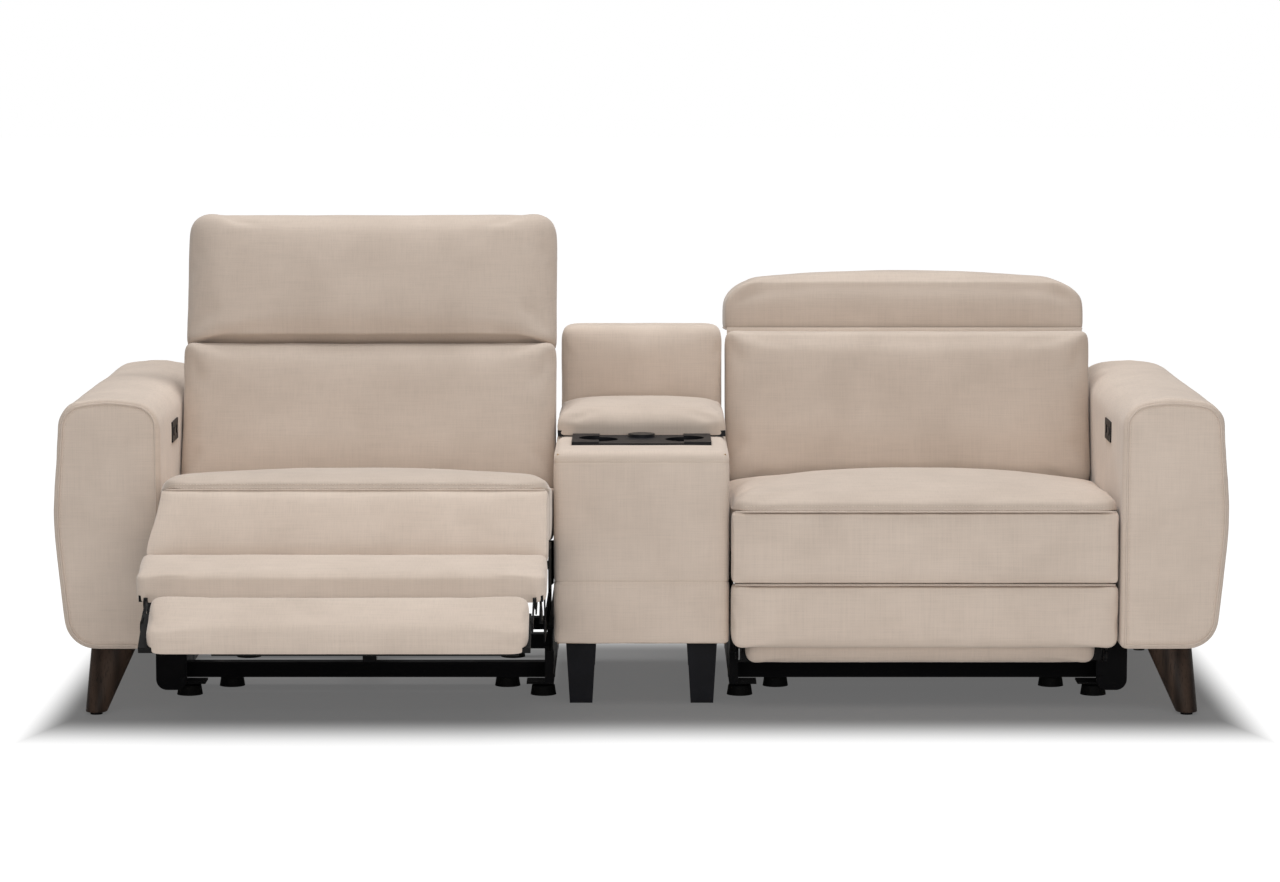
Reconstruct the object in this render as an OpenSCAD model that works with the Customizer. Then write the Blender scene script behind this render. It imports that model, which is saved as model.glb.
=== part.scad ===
// Two seat power reclining sofa with a centre console: a cup tray, a padded bin lid and a drop down back.
// X runs to the sitter's left as seen from the front, Y runs to the back and Z runs up.
// One seat is drawn closed, as a right hand seat, and each side is then mirrored and posed.

/* [Arms] */
// Width of one arm at its foot
arm_w = 205; // [170:1:240]
// Depth of the arms, front to back
arm_depth = 850; // [800:1:900]
// Height of the arm top above the floor
arm_top = 632; // [610:1:660]
// Height of the underside of the arms above the floor
arm_bottom = 131; // [120:1:140]
// How far the outside of the arm swells past its foot
arm_swell = 12; // [4:1:20]
// Drop of the arm top from its crest to the inner corner
arm_slope = 22; // [10:1:30]
// Rounding of the upper corners of the arm
arm_corner = 52; // [40:1:60]
// Rounding of the lower outer corner of the arm
arm_heel = 58; // [40:1:70]
// Rounding of the front and back edges of the arm
arm_edge = 9; // [4:1:14]

/* [Seats] */
// Width of each seat
seat_w = 757; // [700:1:820]
// Gap between a seat and the arm or the console
seat_gap = 3.5; // [2:0.5:6]
// Height of the seam along the front edge of the seat
seam_h = 403; // [395:1:412]
// Height of the top of the seat cushion at its edges
cushion_h = 438; // [428:1:446]
// Extra height of the crown of the seat cushion, left seat and right seat
cushion_crowns = [13, 19]; // [6:1:24]
// Depth from the arm fronts to the back end of the seat cushion
cushion_depth = 516; // [490:1:524]
// Thickness of the padded border under the front seam
border_t = 36; // [28:1:40]
// Height of the lower edge of that border
border_bottom = 258; // [250:1:268]

/* [Backs] */
// Lean of the closed back from upright
back_lean = 14; // [10:0.5:17]
// Height of the back cushion above its hinge
back_top = 374; // [350:1:400]
// Start of the back cushion above its hinge
back_start = 40; // [36:1:60]
// Thickness of the back cushion at its edges
back_t = 110; // [95:1:112]
// Extra thickness of the back cushion in its middle
back_crown = 17; // [8:1:18]
// Length of the headrest, hinge to tip
headrest_l = 284; // [250:1:310]
// How far the folded headrest turns back
headrest_turn = 80; // [60:1:84]

/* [Footrests] */
// Height of the first footrest panel when it hangs closed
panel_h = 127; // [115:1:128]
// Thickness of the pad on the first panel
panel_pad_t = 40; // [34:1:42]
// Height of the second footrest panel
flipper_h = 110; // [95:1:112]
// Thickness of the pad on the second panel
flipper_pad_t = 31; // [26:1:32]
// Height of the lower edge of the second panel when closed
flipper_bottom = 90; // [80:1:100]
// Thickness of the boards behind both pads
board_t = 12; // [9:1:14]

/* [Motion] */
// Forward glide of a seat from closed to the photographed open place
glide = 250; // [200:1:260]
// Tilt of a seat at that place
tilt = 7; // [4:0.5:9]
// Turn of the first footrest panel against its seat at that place
panel_turn = 70; // [60:1:75]
// Turn of the second panel against the first at that place
flipper_turn = 17; // [10:1:20]
// Turn of the padded border at that place
border_turn = 24; // [15:1:28]
// How far the left and the right seat stand open, 1 being the photographed open place
open_shares = [1, 0]; // [0:0.05:1.1]
// How far the left and the right headrest are folded back
fold_shares = [0, 1]; // [0:0.05:1]

/* [Console] */
// Width of the console
console_w = 346; // [320:1:380]
// Set back of the console front from the arm fronts
console_front = 43; // [30:1:55]
// Distance from the arm fronts to the console rear
console_rear = 708; // [700:1:740]
// Height of the flat top of the console
console_top = 518; // [505:1:530]
// Height of the underside of the console
console_bottom = 136; // [128:1:142]
// Thickness of the cover over the cabinet
cover_t = 7; // [5:1:9]
// Rounding of the long top edges of the console
console_round = 22; // [14:1:26]
// Distance from the arm fronts to the front of the tray
tray_front = 140; // [130:1:150]
// Depth of the tray
tray_l = 156; // [140:1:160]
// Width of the tray
tray_w = 277; // [250:1:290]
// Depth of the two cup wells
cup_depth = 58; // [40:1:65]
// Radius of the two cup wells
cup_r = 39; // [34:1:42]
// Front of the padded lid
lid_front = 300; // [299:1:310]
// Back of the padded lid
lid_back = 566; // [550:1:568]
// Top of the padded lid at its edges
lid_h = 560; // [552:1:566]
// Crown of the padded lid
lid_crown = 20; // [10:1:22]
// Height of the console back
console_back_top = 717; // [700:1:735]
// Thickness of the console back
console_back_t = 106; // [95:1:106]

/* [Legs and base] */
// Radius of the wooden arm legs at the top
leg_r = 45; // [36:1:50]
// Radius of the wooden arm legs at the floor
leg_tip_r = 21; // [17:1:24]
// Outward spread of the arm legs
leg_spread = 32; // [20:1:40]
// Forward and backward spread of the arm legs
leg_rake = 44; // [30:1:50]
// Width of the square console legs at the top
post_w = 61; // [50:1:66]
// Width of the square console legs at the floor
post_tip_w = 45; // [36:1:50]
// Side of the square tubes across the base
tube_w = 31; // [26:1:34]
// Thickness of the steel plates and links
plate_t = 3; // [2.5:0.1:3.2]
// Gap between steel plates that move past each other
plate_gap = 0.4; // [0.3:0.1:0.4]
// Radius of the pivot pins
pin_r = 5; // [4:0.5:6]
// Radial clearance of the pivot pins
pin_fit = 0.05; // [0.03:0.01:0.08]

/* [Hidden] */
$fn = 32;

fabric = [0.80, 0.73, 0.66];
black_steel = [0.09, 0.09, 0.10];
black_board = [0.12, 0.11, 0.11];
plywood = [0.74, 0.60, 0.42];
walnut = [0.26, 0.17, 0.12];
black_plastic = [0.10, 0.10, 0.11];

// Distance from the arm fronts back to the origin, which lies under the middle of the whole
origin_back = 195;
over = 2;
soft_gap = 0.4;
back_side_gap = 2;
seat_gap_to_back = seat_gap - back_side_gap;

seat_half = seat_w / 2;
console_half = console_w / 2;
seat_x = console_half + seat_gap + seat_half;
arm_inner = console_half + seat_gap * 2 + seat_w;

// Steel plates lie in layers counted inward from each side edge of a seat
layer = plate_t + plate_gap;
channel_in = 10;
layer_1 = channel_in + plate_gap;
layer_2 = layer_1 + layer;
layer_3 = layer_2 + layer;
layer_4 = layer_3 + layer;
layer_5 = layer_4 + layer;
flipper_inset = layer_5 + layer + plate_gap;
flipper_side_step = 16;
flipper_outer_inset = flipper_inset + flipper_side_step;
link_w = 26;
small_link_w = 22;
neck_share = 0.8;

// Base
base_front = 235;
base_back = 800;
base_low = 24;
channel_low = 100;
channel_high = 150;
channel_front = 160;
channel_wall = 3;
foot_r = 26;
foot_h = 19;
stem_r = 6;
tube_front_y = 350;
tube_back_y = 720;
foot_inner_in = 21.5;
foot_outer_in = 97;
foot_front_inner_y = 259;
foot_lip_t = 4;
foot_lip_w = 55;
outrigger_w = 62;
outrigger_t = 4;
outrigger_low = 13;
outrigger_round = 22;
outrigger_in = 19;
bolt_in = 7.5;
bolt_r = 6;
bolt_h = 5;
bolt_z = 37;

// Carriage, which slides in the base channels
carriage_front = 200;
carriage_back = 790;
carriage_low = 153;
carriage_high = 196;
block_l = 60;
block_front_y = 500;
block_back_y = 728;
block_gap = 0.3;
lift_pivot = [222, 269];
lift_lug = [160, 245];
lift_slack = 5.2;
crossbar_y = 608;
crossbar_w = 25;
crossbar_z = 116;

// Seat frame
tilt_pivot = [600, 250];
back_pivot = [600, 330];
deck_front = 60;
deck_back = 560;
rail_low = 262;
deck_top = 301;
deck_t = 14;
rail_w = 24;
spine_low = 264;
spine_high = 292;
spine_front = 100;
spine_back = 596;
border_front = 8;
border_lip = 2;
cushion_set = 3;
cushion_front = border_front + border_t + cushion_set;
nose_front = 12;

// Footrest
panel_gap = 2;
board_set = 5;
panel_top = border_bottom - panel_gap;
panel_low = panel_top - panel_h;
panel_back = border_front + panel_pad_t + board_t + soft_gap * 2;
panel_mid = [(border_front + panel_back) / 2, (panel_top + panel_low) / 2];
arm_pivot = [120, 235];
arm_1_l = 140;
arm_2_l = 130;
hook = [45, 10];
flipper_front = panel_back + 8;
flipper_back = flipper_front + flipper_pad_t + board_t + soft_gap * 2;
flipper_mid = [(flipper_front + flipper_back) / 2, flipper_bottom + flipper_h / 2];
flip_lug_off = [25, 30];
border_pivot = [border_front + border_lip * 6, seam_h];
open_panel_mid = [-148, 239];
open_flipper_off = [16.3, -204.9];

// Back and headrest, measured from the back hinge
back_face = 35.4;
back_board_t = 16;
back_board_top = 366;
head_pivot = [46, back_top + 5];
head_start = back_top + 1;
head_board_t = 10;
head_board_in = 60;
head_lug_x = 200;
head_lug_w = 14;
head_pad_t = 108;
head_crown = 18;
head_pin_r = 4;

// Points are kept as [Y, Z]. Opening turns the front of a thing up, as seen from its right.
function turned(p, c, a) = [
  c[0] + (p[0] - c[0]) * cos(a) + (p[1] - c[1]) * sin(a),
  c[1] - (p[0] - c[0]) * sin(a) + (p[1] - c[1]) * cos(a)
];
function bearing(p, q) = atan2(q[1] - p[1], q[0] - p[0]);
function elbow(p, q, l1, l2) =
  let (d = norm(q - p), a = bearing(p, q) + acos((l1 * l1 + d * d - l2 * l2) / (2 * l1 * d)))
  p + l1 * [cos(a), sin(a)];

// Footrest linkage, from its closed place and its open place
hook_closed = panel_mid + hook;
hook_open = turned(open_panel_mid + hook, open_panel_mid, panel_turn);
elbow_closed = elbow(arm_pivot, hook_closed, arm_1_l, arm_2_l);
elbow_open = elbow(arm_pivot, hook_open, arm_1_l, arm_2_l);
arm_1_turn = bearing(arm_pivot, elbow_closed) - bearing(arm_pivot, elbow_open);
arm_2_turn = bearing(elbow_closed, hook_closed) - bearing(elbow_open, hook_open) - arm_1_turn;
hook_turn = panel_turn - arm_1_turn - arm_2_turn;
flip_lug = flipper_mid + flip_lug_off;
flip_lug_open = turned(panel_mid + open_flipper_off + flip_lug_off,
                       panel_mid + open_flipper_off, -flipper_turn);
// The pivot of the flip link is as far from the lug's open place as from its closed one. It lies in
// front of both, so that the second panel passes behind the first
flip_mid = (flip_lug + flip_lug_open) / 2;
flip_normal = [flip_lug[1] - flip_lug_open[1], flip_lug_open[0] - flip_lug[0]]
              / norm(flip_lug - flip_lug_open);
flip_reach = 38;
flip_pivot = flip_mid - flip_normal * flip_reach;
flip_link_turn = 2 * atan(norm(flip_lug - flip_lug_open) / 2 / flip_reach);
flip_lug_turn = -flip_link_turn - flipper_turn;
// The lift link swings by as much as carries its lug up with the tilted seat
lift_lug_open = turned(lift_lug, tilt_pivot, tilt);
lift_turn = bearing(lift_pivot, lift_lug) + 360 - bearing(lift_pivot, lift_lug_open);

// Frames that pieces are drawn in
module placed() {
  translate([0, -origin_back, 0]) children();
}
module seat_side(side) {
  placed() mirror([side < 0 ? 1 : 0, 0, 0]) translate([seat_x, 0, 0]) children();
}
module turn_at(p, a) {
  translate([0, p[0], p[1]]) rotate([-a, 0, 0]) translate([0, -p[0], -p[1]]) children();
}
function share_of(side) = side < 0 ? open_shares[0] : open_shares[1];
function fold_of(side) = side < 0 ? fold_shares[0] : fold_shares[1];
module on_carriage(side) {
  seat_side(side) translate([0, -glide * share_of(side), 0]) children();
}
module on_seat(side) {
  on_carriage(side) turn_at(tilt_pivot, tilt * share_of(side)) children();
}
module on_back(side) {
  on_seat(side) translate([0, back_pivot[0], back_pivot[1]]) rotate([-back_lean, 0, 0]) children();
}
module on_headrest(side) {
  on_back(side) turn_at(head_pivot, headrest_turn * fold_of(side)) children();
}
module on_arm_1(side) {
  on_seat(side) turn_at(arm_pivot, arm_1_turn * share_of(side)) children();
}
module on_arm_2(side) {
  on_arm_1(side) turn_at(elbow_closed, arm_2_turn * share_of(side)) children();
}
module on_panel(side) {
  on_arm_2(side) turn_at(hook_closed, hook_turn * share_of(side)) children();
}
module on_flip_link(side) {
  on_panel(side) turn_at(flip_pivot, flip_link_turn * share_of(side)) children();
}
module on_flipper(side) {
  on_flip_link(side) turn_at(flip_lug, flip_lug_turn * share_of(side)) children();
}
// Draws its children at both side edges of a seat, with X counted inward from the edge
module both_edges() {
  for (far = [0, 1])
    mirror([far, 0, 0]) translate([-seat_half, 0, 0]) children();
}

// Plain steel shapes
module rod_x(p, r, x0, x1) {
  translate([x0, p[0], p[1]]) rotate([0, 90, 0]) cylinder(h = x1 - x0, r = r);
}
module bar(p, q, w, x0, t = plate_t) {
  rod_x(p, w / 2, x0, x0 + t);
  rod_x(q, w / 2, x0, x0 + t);
  translate([x0, p[0], p[1]]) rotate([bearing(p, q), 0, 0])
    translate([0, 0, -w * neck_share / 2]) cube([t, norm(q - p), w * neck_share]);
}
module block(x0, x1, y0, y1, z0, z1) {
  translate([x0, y0, z0]) cube([x1 - x0, y1 - y0, z1 - z0]);
}
module bore(p, r, x0, t = plate_t) {
  rod_x(p, r + pin_fit, x0 - over, x0 + t + over);
}

// Soft forms are skins over rings of points
function arc(c, r, a0, n) = [for (i = [0 : n]) c + r * [cos(a0 + 90 * i / n), sin(a0 + 90 * i / n)]];
function along(p, q, n, pull) = [
  for (i = [1 : n])
    let (s = i / (n + 1), m = (q - p) / norm(q - p))
    p + (q - p) * s + [-m[1], m[0]] * pull * 4 * s * (1 - s)
];
// A rounded rectangle, anticlockwise, whose sides are drawn in by pull between the corners
function ring(x0, x1, y0, y1, r, pull, z, long = 4, short = 2, n = 2) =
  let (
    c1 = arc([x0 + r, y0 + r], r, 180, n), c2 = arc([x1 - r, y0 + r], r, 270, n),
    c3 = arc([x1 - r, y1 - r], r, 0, n), c4 = arc([x0 + r, y1 - r], r, 90, n),
    flat = concat(c1, along(c1[n], c2[0], long, pull), c2, along(c2[n], c3[0], short, pull),
                  c3, along(c3[n], c4[0], long, pull), c4, along(c4[n], c1[0], short, pull))
  )
  [for (p = flat) [p[0], p[1], z]];
function mean(points) = [for (k = [0 : 2]) [for (p = points) p[k]] * [for (p = points) 1] / len(points)];
function shrunk(points, share, rise) =
  let (m = mean(points))
  [for (p = points) [m[0], m[1], p[2] + rise] + [p[0] - m[0], p[1] - m[1], 0] * share];
module skin(rings, tip) {
  n = len(rings[0]);
  m = len(rings);
  points = concat([for (r = rings) each r], [mean(rings[0]), tip]);
  low = n * m;
  sides = [
    for (k = [0 : m - 2], i = [0 : n - 1])
      let (a = k * n + i, b = k * n + (i + 1) % n, c = a + n, d = b + n)
      each [[a, c, d], [a, d, b]]
  ];
  bottom = [for (i = [0 : n - 1]) [low, i, (i + 1) % n]];
  top = [for (i = [0 : n - 1]) [low + 1, (m - 1) * n + (i + 1) % n, (m - 1) * n + i]];
  polyhedron(points, concat(sides, bottom, top));
}
// A pad that lies on Z 0, with a back edge, a front edge and a crown
crown_shares = [0.74, 0.4];
edge_step_shares = [1 - cos(45), sin(45)];
function pad_rings(hx, y0, y1, t, corner, low_edge, edge, crown, pull) =
  let (
    inset = [low_edge, 0, 0, edge * edge_step_shares[0], edge],
    height = [0, low_edge, t - edge, t - edge * (1 - edge_step_shares[1]), t],
    rims = [
      for (k = [0 : 4])
        ring(-hx + inset[k], hx - inset[k], y0 + inset[k], y1 - inset[k],
             corner - inset[k] * corner_keep_share, pull, height[k])
    ]
  )
  concat(rims, [for (s = crown_shares) shrunk(rims[4], s, crown * (1 - s * s))]);
corner_keep_share = 0.6;
module pad(hx, y0, y1, t, corner, low_edge, edge, crown, pull) {
  rings = pad_rings(hx, y0, y1, t, corner, low_edge, edge, crown, pull);
  skin(rings, [0, (y0 + y1) / 2, t + crown]);
}
// A pad that stands up with its crown facing forward and its back at depth d
module standing_pad(hx, z0, z1, d, t, corner, low_edge, edge, crown, pull) {
  translate([0, d, 0]) rotate([90, 0, 0])
    pad(hx, z0, z1, t, corner, low_edge, edge, crown, pull);
}

// Arms
arm_foam = 12;
arm_wall = 18;
arm_cavity_w = 128;
arm_cavity_drop = 70;
arm_cavity_top = arm_top - arm_cavity_drop;
arm_end_foam = 28;
arm_crest_x = arm_inner + arm_w / 2;
arm_foot_in = 5;
arm_foot_x = arm_inner + arm_w - arm_foot_in;
arm_shoulder_in = 8;
arm_shoulder_x = arm_inner + arm_w - arm_shoulder_in;
arm_crest_r = 280;
arm_belly_r = 600;
arm_toe_r = 6;
// Corners of the arm seen from the front, each with its rounding and its number of steps
arm_corners = [
  [[arm_inner, arm_bottom], arm_toe_r, 2],
  [[arm_foot_x, arm_bottom], arm_heel, 4],
  [[arm_foot_x + arm_swell, (arm_bottom + arm_top) / 2], arm_belly_r, 2],
  [[arm_shoulder_x, arm_top - arm_slope], arm_corner, 4],
  [[arm_crest_x, arm_top], arm_crest_r, 2],
  [[arm_inner, arm_top - arm_slope], arm_corner, 4]
];
arm_edge_insets = [arm_edge, arm_edge * 0.3, 0, 0, arm_edge * 0.3, arm_edge];
arm_edge_depths = [
  0, arm_edge * 0.3, arm_edge, arm_depth - arm_edge, arm_depth - arm_edge * 0.3, arm_depth
];
switch_front = 205;
switch_l = 100;
switch_low = 516;
switch_h = 41;
switch_proud = 2.4;
switch_deep = 10;
switch_rim = 4;
button_r = 9;
button_set = 24;
button_proud = 1.8;
button_l = 7;
button_fit = 0.3;
pocket_fit = 0.3;
bore_floor = 2;

function fillet(p0, p1, p2, r, n) =
  let (
    u = (p0 - p1) / norm(p0 - p1), v = (p2 - p1) / norm(p2 - p1), h = acos(u * v) / 2,
    c = p1 + (u + v) / norm(u + v) * r / sin(h),
    a = p1 + u * r / tan(h) - c, b = p1 + v * r / tan(h) - c,
    a0 = atan2(a[1], a[0]), sweep = (atan2(b[1], b[0]) - a0 + 540) % 360 - 180
  )
  [for (i = [0 : n]) c + r * [cos(a0 + sweep * i / n), sin(a0 + sweep * i / n)]];
function rounded(corners) = [
  for (i = [0 : len(corners) - 1])
    let (m = len(corners), k = corners[i])
    each fillet(corners[(i + m - 1) % m][0], k[0], corners[(i + 1) % m][0], k[1], k[2])
];
arm_outline = rounded(arm_corners);
arm_middle = [arm_crest_x, (arm_bottom + arm_top) / 2];
arm_half_size = [arm_w / 2, (arm_top - arm_bottom) / 2];
function inset_arm(inset, z) = [
  for (p = arm_outline)
    let (q = p - arm_middle)
    [
      arm_middle[0] + q[0] * (1 - inset / arm_half_size[0]),
      max(arm_bottom, arm_middle[1] + q[1] * (1 - inset / arm_half_size[1])), z
    ]
];
module arm_side(side) {
  placed() mirror([side < 0 ? 1 : 0, 0, 0]) children();
}
module arm_cover(side) {
  color(fabric) arm_side(side) difference() {
    translate([0, arm_depth, 0]) rotate([90, 0, 0])
      skin([for (k = [0 : 5]) inset_arm(arm_edge_insets[k], arm_edge_depths[k])],
           [arm_middle[0], arm_middle[1], arm_depth]);
    block(arm_inner + arm_foam, arm_inner + arm_foam + arm_cavity_w, arm_end_foam,
          arm_depth - arm_end_foam, arm_bottom - over, arm_cavity_top);
    block(arm_inner - over, arm_inner + switch_deep + pocket_fit,
          switch_front + switch_rim - pocket_fit, switch_front + switch_l - switch_rim + pocket_fit,
          switch_low + switch_rim - pocket_fit, switch_low + switch_h - switch_rim + pocket_fit);
  }
}
module arm_frame(side) {
  x0 = arm_inner + arm_foam + soft_gap;
  x1 = arm_inner + arm_foam + arm_cavity_w - soft_gap;
  y0 = arm_end_foam + soft_gap;
  y1 = arm_depth - arm_end_foam - soft_gap;
  z1 = arm_cavity_top - soft_gap;
  color(plywood) arm_side(side) {
    block(x0, x0 + arm_wall, y0, y1, arm_bottom, z1);
    block(x0, x1, y0, y0 + arm_wall, arm_bottom, z1);
    block(x0, x1, y1 - arm_wall, y1, arm_bottom, z1);
    block(x0, x1, y0, y1, z1 - arm_wall, z1);
    block(x0, x1, y0, y1, arm_bottom, arm_bottom + arm_wall);
  }
}
module switch_plate(side) {
  color(black_plastic) arm_side(side) difference() {
    union() {
      block(arm_inner - switch_proud, arm_inner, switch_front, switch_front + switch_l,
            switch_low, switch_low + switch_h);
      block(arm_inner - switch_proud, arm_inner + switch_deep, switch_front + switch_rim,
            switch_front + switch_l - switch_rim, switch_low + switch_rim,
            switch_low + switch_h - switch_rim);
    }
    for (way = [-1, 1])
      rod_x(button_place(way), button_r + button_fit, arm_inner - switch_proud - over,
            arm_inner + switch_deep - bore_floor);
  }
}
function button_place(way) = [
  switch_front + switch_l / 2 + way * button_set, switch_low + switch_h / 2
];
module button(side, way) {
  x0 = arm_inner - switch_proud - button_proud;
  color(black_plastic) arm_side(side) rod_x(button_place(way), button_r, x0, x0 + button_l);
}

// Wooden arm legs, splayed outward and away from the middle of the arm, with glides
leg_in = 102;
leg_y = 70;
glide_r = 12;
glide_t = 5;
leg_sides = 40;
leg_step = 360 / leg_sides;
function leg_top(back) = [arm_inner + leg_in, back ? arm_depth - leg_y : leg_y, arm_bottom];
function leg_tip(back) = leg_top(back) + [leg_spread, back ? leg_rake : -leg_rake, glide_t - arm_bottom];
module wooden_leg(top, tip) {
  skin([
    for (e = [[tip, leg_tip_r], [top, leg_r]])
      [for (i = [0 : leg_sides - 1]) e[0] + e[1] * [cos(i * leg_step), sin(i * leg_step), 0]]
  ], top);
}
module arm_legs(side) {
  color(walnut) arm_side(side)
    for (back = [false, true]) wooden_leg(leg_top(back), leg_tip(back));
}
module leg_glides() {
  color(black_plastic)
    for (side = [-1, 1], back = [false, true])
      arm_side(side) translate([leg_tip(back)[0], leg_tip(back)[1], 0])
        cylinder(h = glide_t, r = glide_r);
}

// Console
cabinet_half = console_half - cover_t - soft_gap;
cabinet_front = console_front + cover_t + soft_gap;
cabinet_rear = console_rear - cover_t - soft_gap;
cabinet_top = console_top - cover_t;
cabinet_wall = 16;
bin_set = [12, 24];
bin_front = lid_front + bin_set[0];
bin_back = lid_back - bin_set[1];
under_tray_t = 22;
under_tray_top = console_top - cup_depth - under_tray_t;
tray_lip = 6;
tray_plate_t = 4;
tray_wall = 3;
cup_x = 86;
cap_r = 28;
cap_h = 6;
tray_end_w = 54;
tray_end_h = 3;
lid_side_gap = 3;
lid_half = console_half - lid_side_gap;
lid_gap = 0.4;
lid_board_t = 12;
lid_axis_set = [15, 42];
lid_axis = [lid_back - lid_axis_set[0], console_top + lid_axis_set[1]];
back_axis_y = 578;
back_axis_rise = 45;
back_axis = [back_axis_y, console_top + back_axis_rise];
back_bracket_w = 10;
console_back_gap = 6;
console_back_low = console_top + console_back_gap;
console_back_half = console_half - 6;
console_back_rear = 700;
console_back_board_t = 12;
console_back_crown = 12;
bracket_w = 14;
bracket_t = 3;
bracket_gap = 0.4;
lid_bracket_x = 107;
back_bracket_x = 60;
hinge_pin_r = 4;
back_pin_r = 3;
slot_side = 1;
post_x = 120.5;
post_front = 175;
post_rear = 640;
console_corner = 14;
cover_inset_shares = [0, 0, 0.32, 1];
cover_drop_share = 0.32;
cover_side_share = 0.36;
lid_corner = 26;
lid_edges = [5, 20];
back_pad_corner = 30;
back_pad_edges = [6, 24];
pad_pull = 2;
tray_cap_share = 0.94;
ear_share = 1.4;

module console_cover() {
  r = console_round;
  heights = [console_bottom, console_top - r, console_top - r * cover_drop_share, console_top];
  color(fabric) placed() difference() {
    skin([
      for (k = [0 : 3])
        let (i = r * cover_inset_shares[k], j = i * cover_side_share)
        ring(-console_half + j, console_half - j, console_front + i, console_rear - j,
             console_corner, 0, heights[k])
    ], [0, (console_front + console_rear) / 2, console_top]);
    block(-cabinet_half - soft_gap, cabinet_half + soft_gap, cabinet_front - soft_gap,
          cabinet_rear + soft_gap, console_bottom - over, cabinet_top);
    tray_hole();
    block(-cabinet_half + cabinet_wall, cabinet_half - cabinet_wall, bin_front, bin_back,
          console_bottom, console_top + over);
  }
}
module tray_hole() {
  block(-tray_w / 2 + tray_lip, tray_w / 2 - tray_lip, tray_front + tray_lip,
        tray_front + tray_l - tray_lip, under_tray_top, console_top + over);
}
module console_cabinet() {
  color(plywood) placed() difference() {
    block(-cabinet_half, cabinet_half, cabinet_front, cabinet_rear, console_bottom, cabinet_top);
    block(-cabinet_half + cabinet_wall, cabinet_half - cabinet_wall, bin_front, bin_back,
          console_bottom + cabinet_wall, console_top + over);
    block(-cabinet_half + cabinet_wall, cabinet_half - cabinet_wall,
          cabinet_front + cabinet_wall, bin_front + over, console_bottom + cabinet_wall,
          under_tray_top - cabinet_wall);
    tray_hole();
    for (s = [-1, 1])
      translate([s * cup_x, tray_front + tray_l / 2, under_tray_top - cabinet_wall - over])
        cylinder(h = cabinet_wall + over * 2, r = cup_r);
  }
}
module console_tray() {
  y_mid = tray_front + tray_l / 2;
  z0 = console_top;
  color(black_plastic) placed() difference() {
    union() {
      block(-tray_w / 2, tray_w / 2, tray_front, tray_front + tray_l, z0, z0 + tray_plate_t);
      for (s = [-1, 1]) {
        translate([s * (tray_w - tray_end_w) / 2, y_mid, z0 + tray_plate_t + tray_end_h / 2])
          cube([tray_end_w, tray_l, tray_end_h], center = true);
        translate([s * cup_x, y_mid, z0 - cup_depth])
          cylinder(h = cup_depth + tray_plate_t, r = cup_r + tray_wall);
      }
    }
    for (s = [-1, 1])
      translate([s * cup_x, y_mid, z0 - cup_depth + tray_wall])
        cylinder(h = cup_depth * 2, r = cup_r);
  }
}
module tray_cap() {
  color(black_plastic) placed()
    translate([0, tray_front + tray_l - cap_r, console_top + tray_plate_t])
      cylinder(h = cap_h, r1 = cap_r, r2 = cap_r * tray_cap_share, $fn = 48);
}
module console_legs() {
  half = sqrt(2) / 2;
  color(black_plastic) placed()
    for (s = [-1, 1], y = [post_front, post_rear])
      translate([s * post_x, y, 0]) rotate([0, 0, 45])
        cylinder(h = console_bottom, r1 = post_tip_w * half, r2 = post_w * half, $fn = 4);
}
module console_hinges() {
  color(black_steel) placed()
    for (s = [0, 1]) mirror([s, 0, 0]) {
      block(lid_bracket_x, lid_bracket_x + bracket_t, lid_axis[0] - bracket_w / 2,
            lid_axis[0] + bracket_w / 2, console_top, lid_axis[1]);
      rod_x(lid_axis, bracket_w / 2, lid_bracket_x, lid_bracket_x + bracket_t);
      rod_x(lid_axis, hinge_pin_r, lid_bracket_x, lid_bracket_x + bracket_t * 2 + bracket_gap);
      block(back_bracket_x, back_bracket_x + bracket_t, back_axis[0] - back_bracket_w / 2,
            back_axis[0] + back_bracket_w / 2, console_top, back_axis[1]);
      rod_x(back_axis, back_bracket_w / 2, back_bracket_x, back_bracket_x + bracket_t);
      rod_x(back_axis, back_pin_r, back_bracket_x, back_bracket_x + bracket_t * 2 + bracket_gap);
    }
}
module lid_slots(reach, z0, z1) {
  for (s = [0, 1]) mirror([s, 0, 0])
    block(lid_bracket_x - slot_side, lid_bracket_x + bracket_t * 2 + bracket_gap + slot_side,
          lid_axis[0] - reach, lid_back + over, z0, z1);
}
module console_lid_board() {
  z0 = console_top + lid_gap;
  ear = lid_bracket_x + bracket_t + bracket_gap;
  color(black_steel) placed() {
    difference() {
      block(-lid_half + slot_side, lid_half - slot_side, lid_front + slot_side,
            lid_axis[0] + over, z0, z0 + lid_board_t);
      lid_slots(bracket_w, z0 - over, z0 + lid_board_t + over);
    }
    for (s = [0, 1]) mirror([s, 0, 0])
      difference() {
        union() {
          rod_x(lid_axis, bracket_w / 2, ear, ear + bracket_t);
          block(ear, ear + bracket_t, lid_axis[0] - bracket_w * ear_share, lid_axis[0],
                z0, lid_axis[1]);
        }
        bore(lid_axis, hinge_pin_r, ear, bracket_t);
      }
  }
}
module console_lid_pad() {
  z0 = console_top + lid_gap + lid_board_t + soft_gap;
  color(fabric) placed() difference() {
    translate([0, 0, z0])
      pad(lid_half, lid_front, lid_back, lid_h - z0, lid_corner, lid_edges[0], lid_edges[1],
          lid_crown, pad_pull);
    lid_slots(bracket_w * ear_share + slot_side, z0 - over, lid_axis[1] + bracket_w / 2 + slot_side);
  }
}
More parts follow.
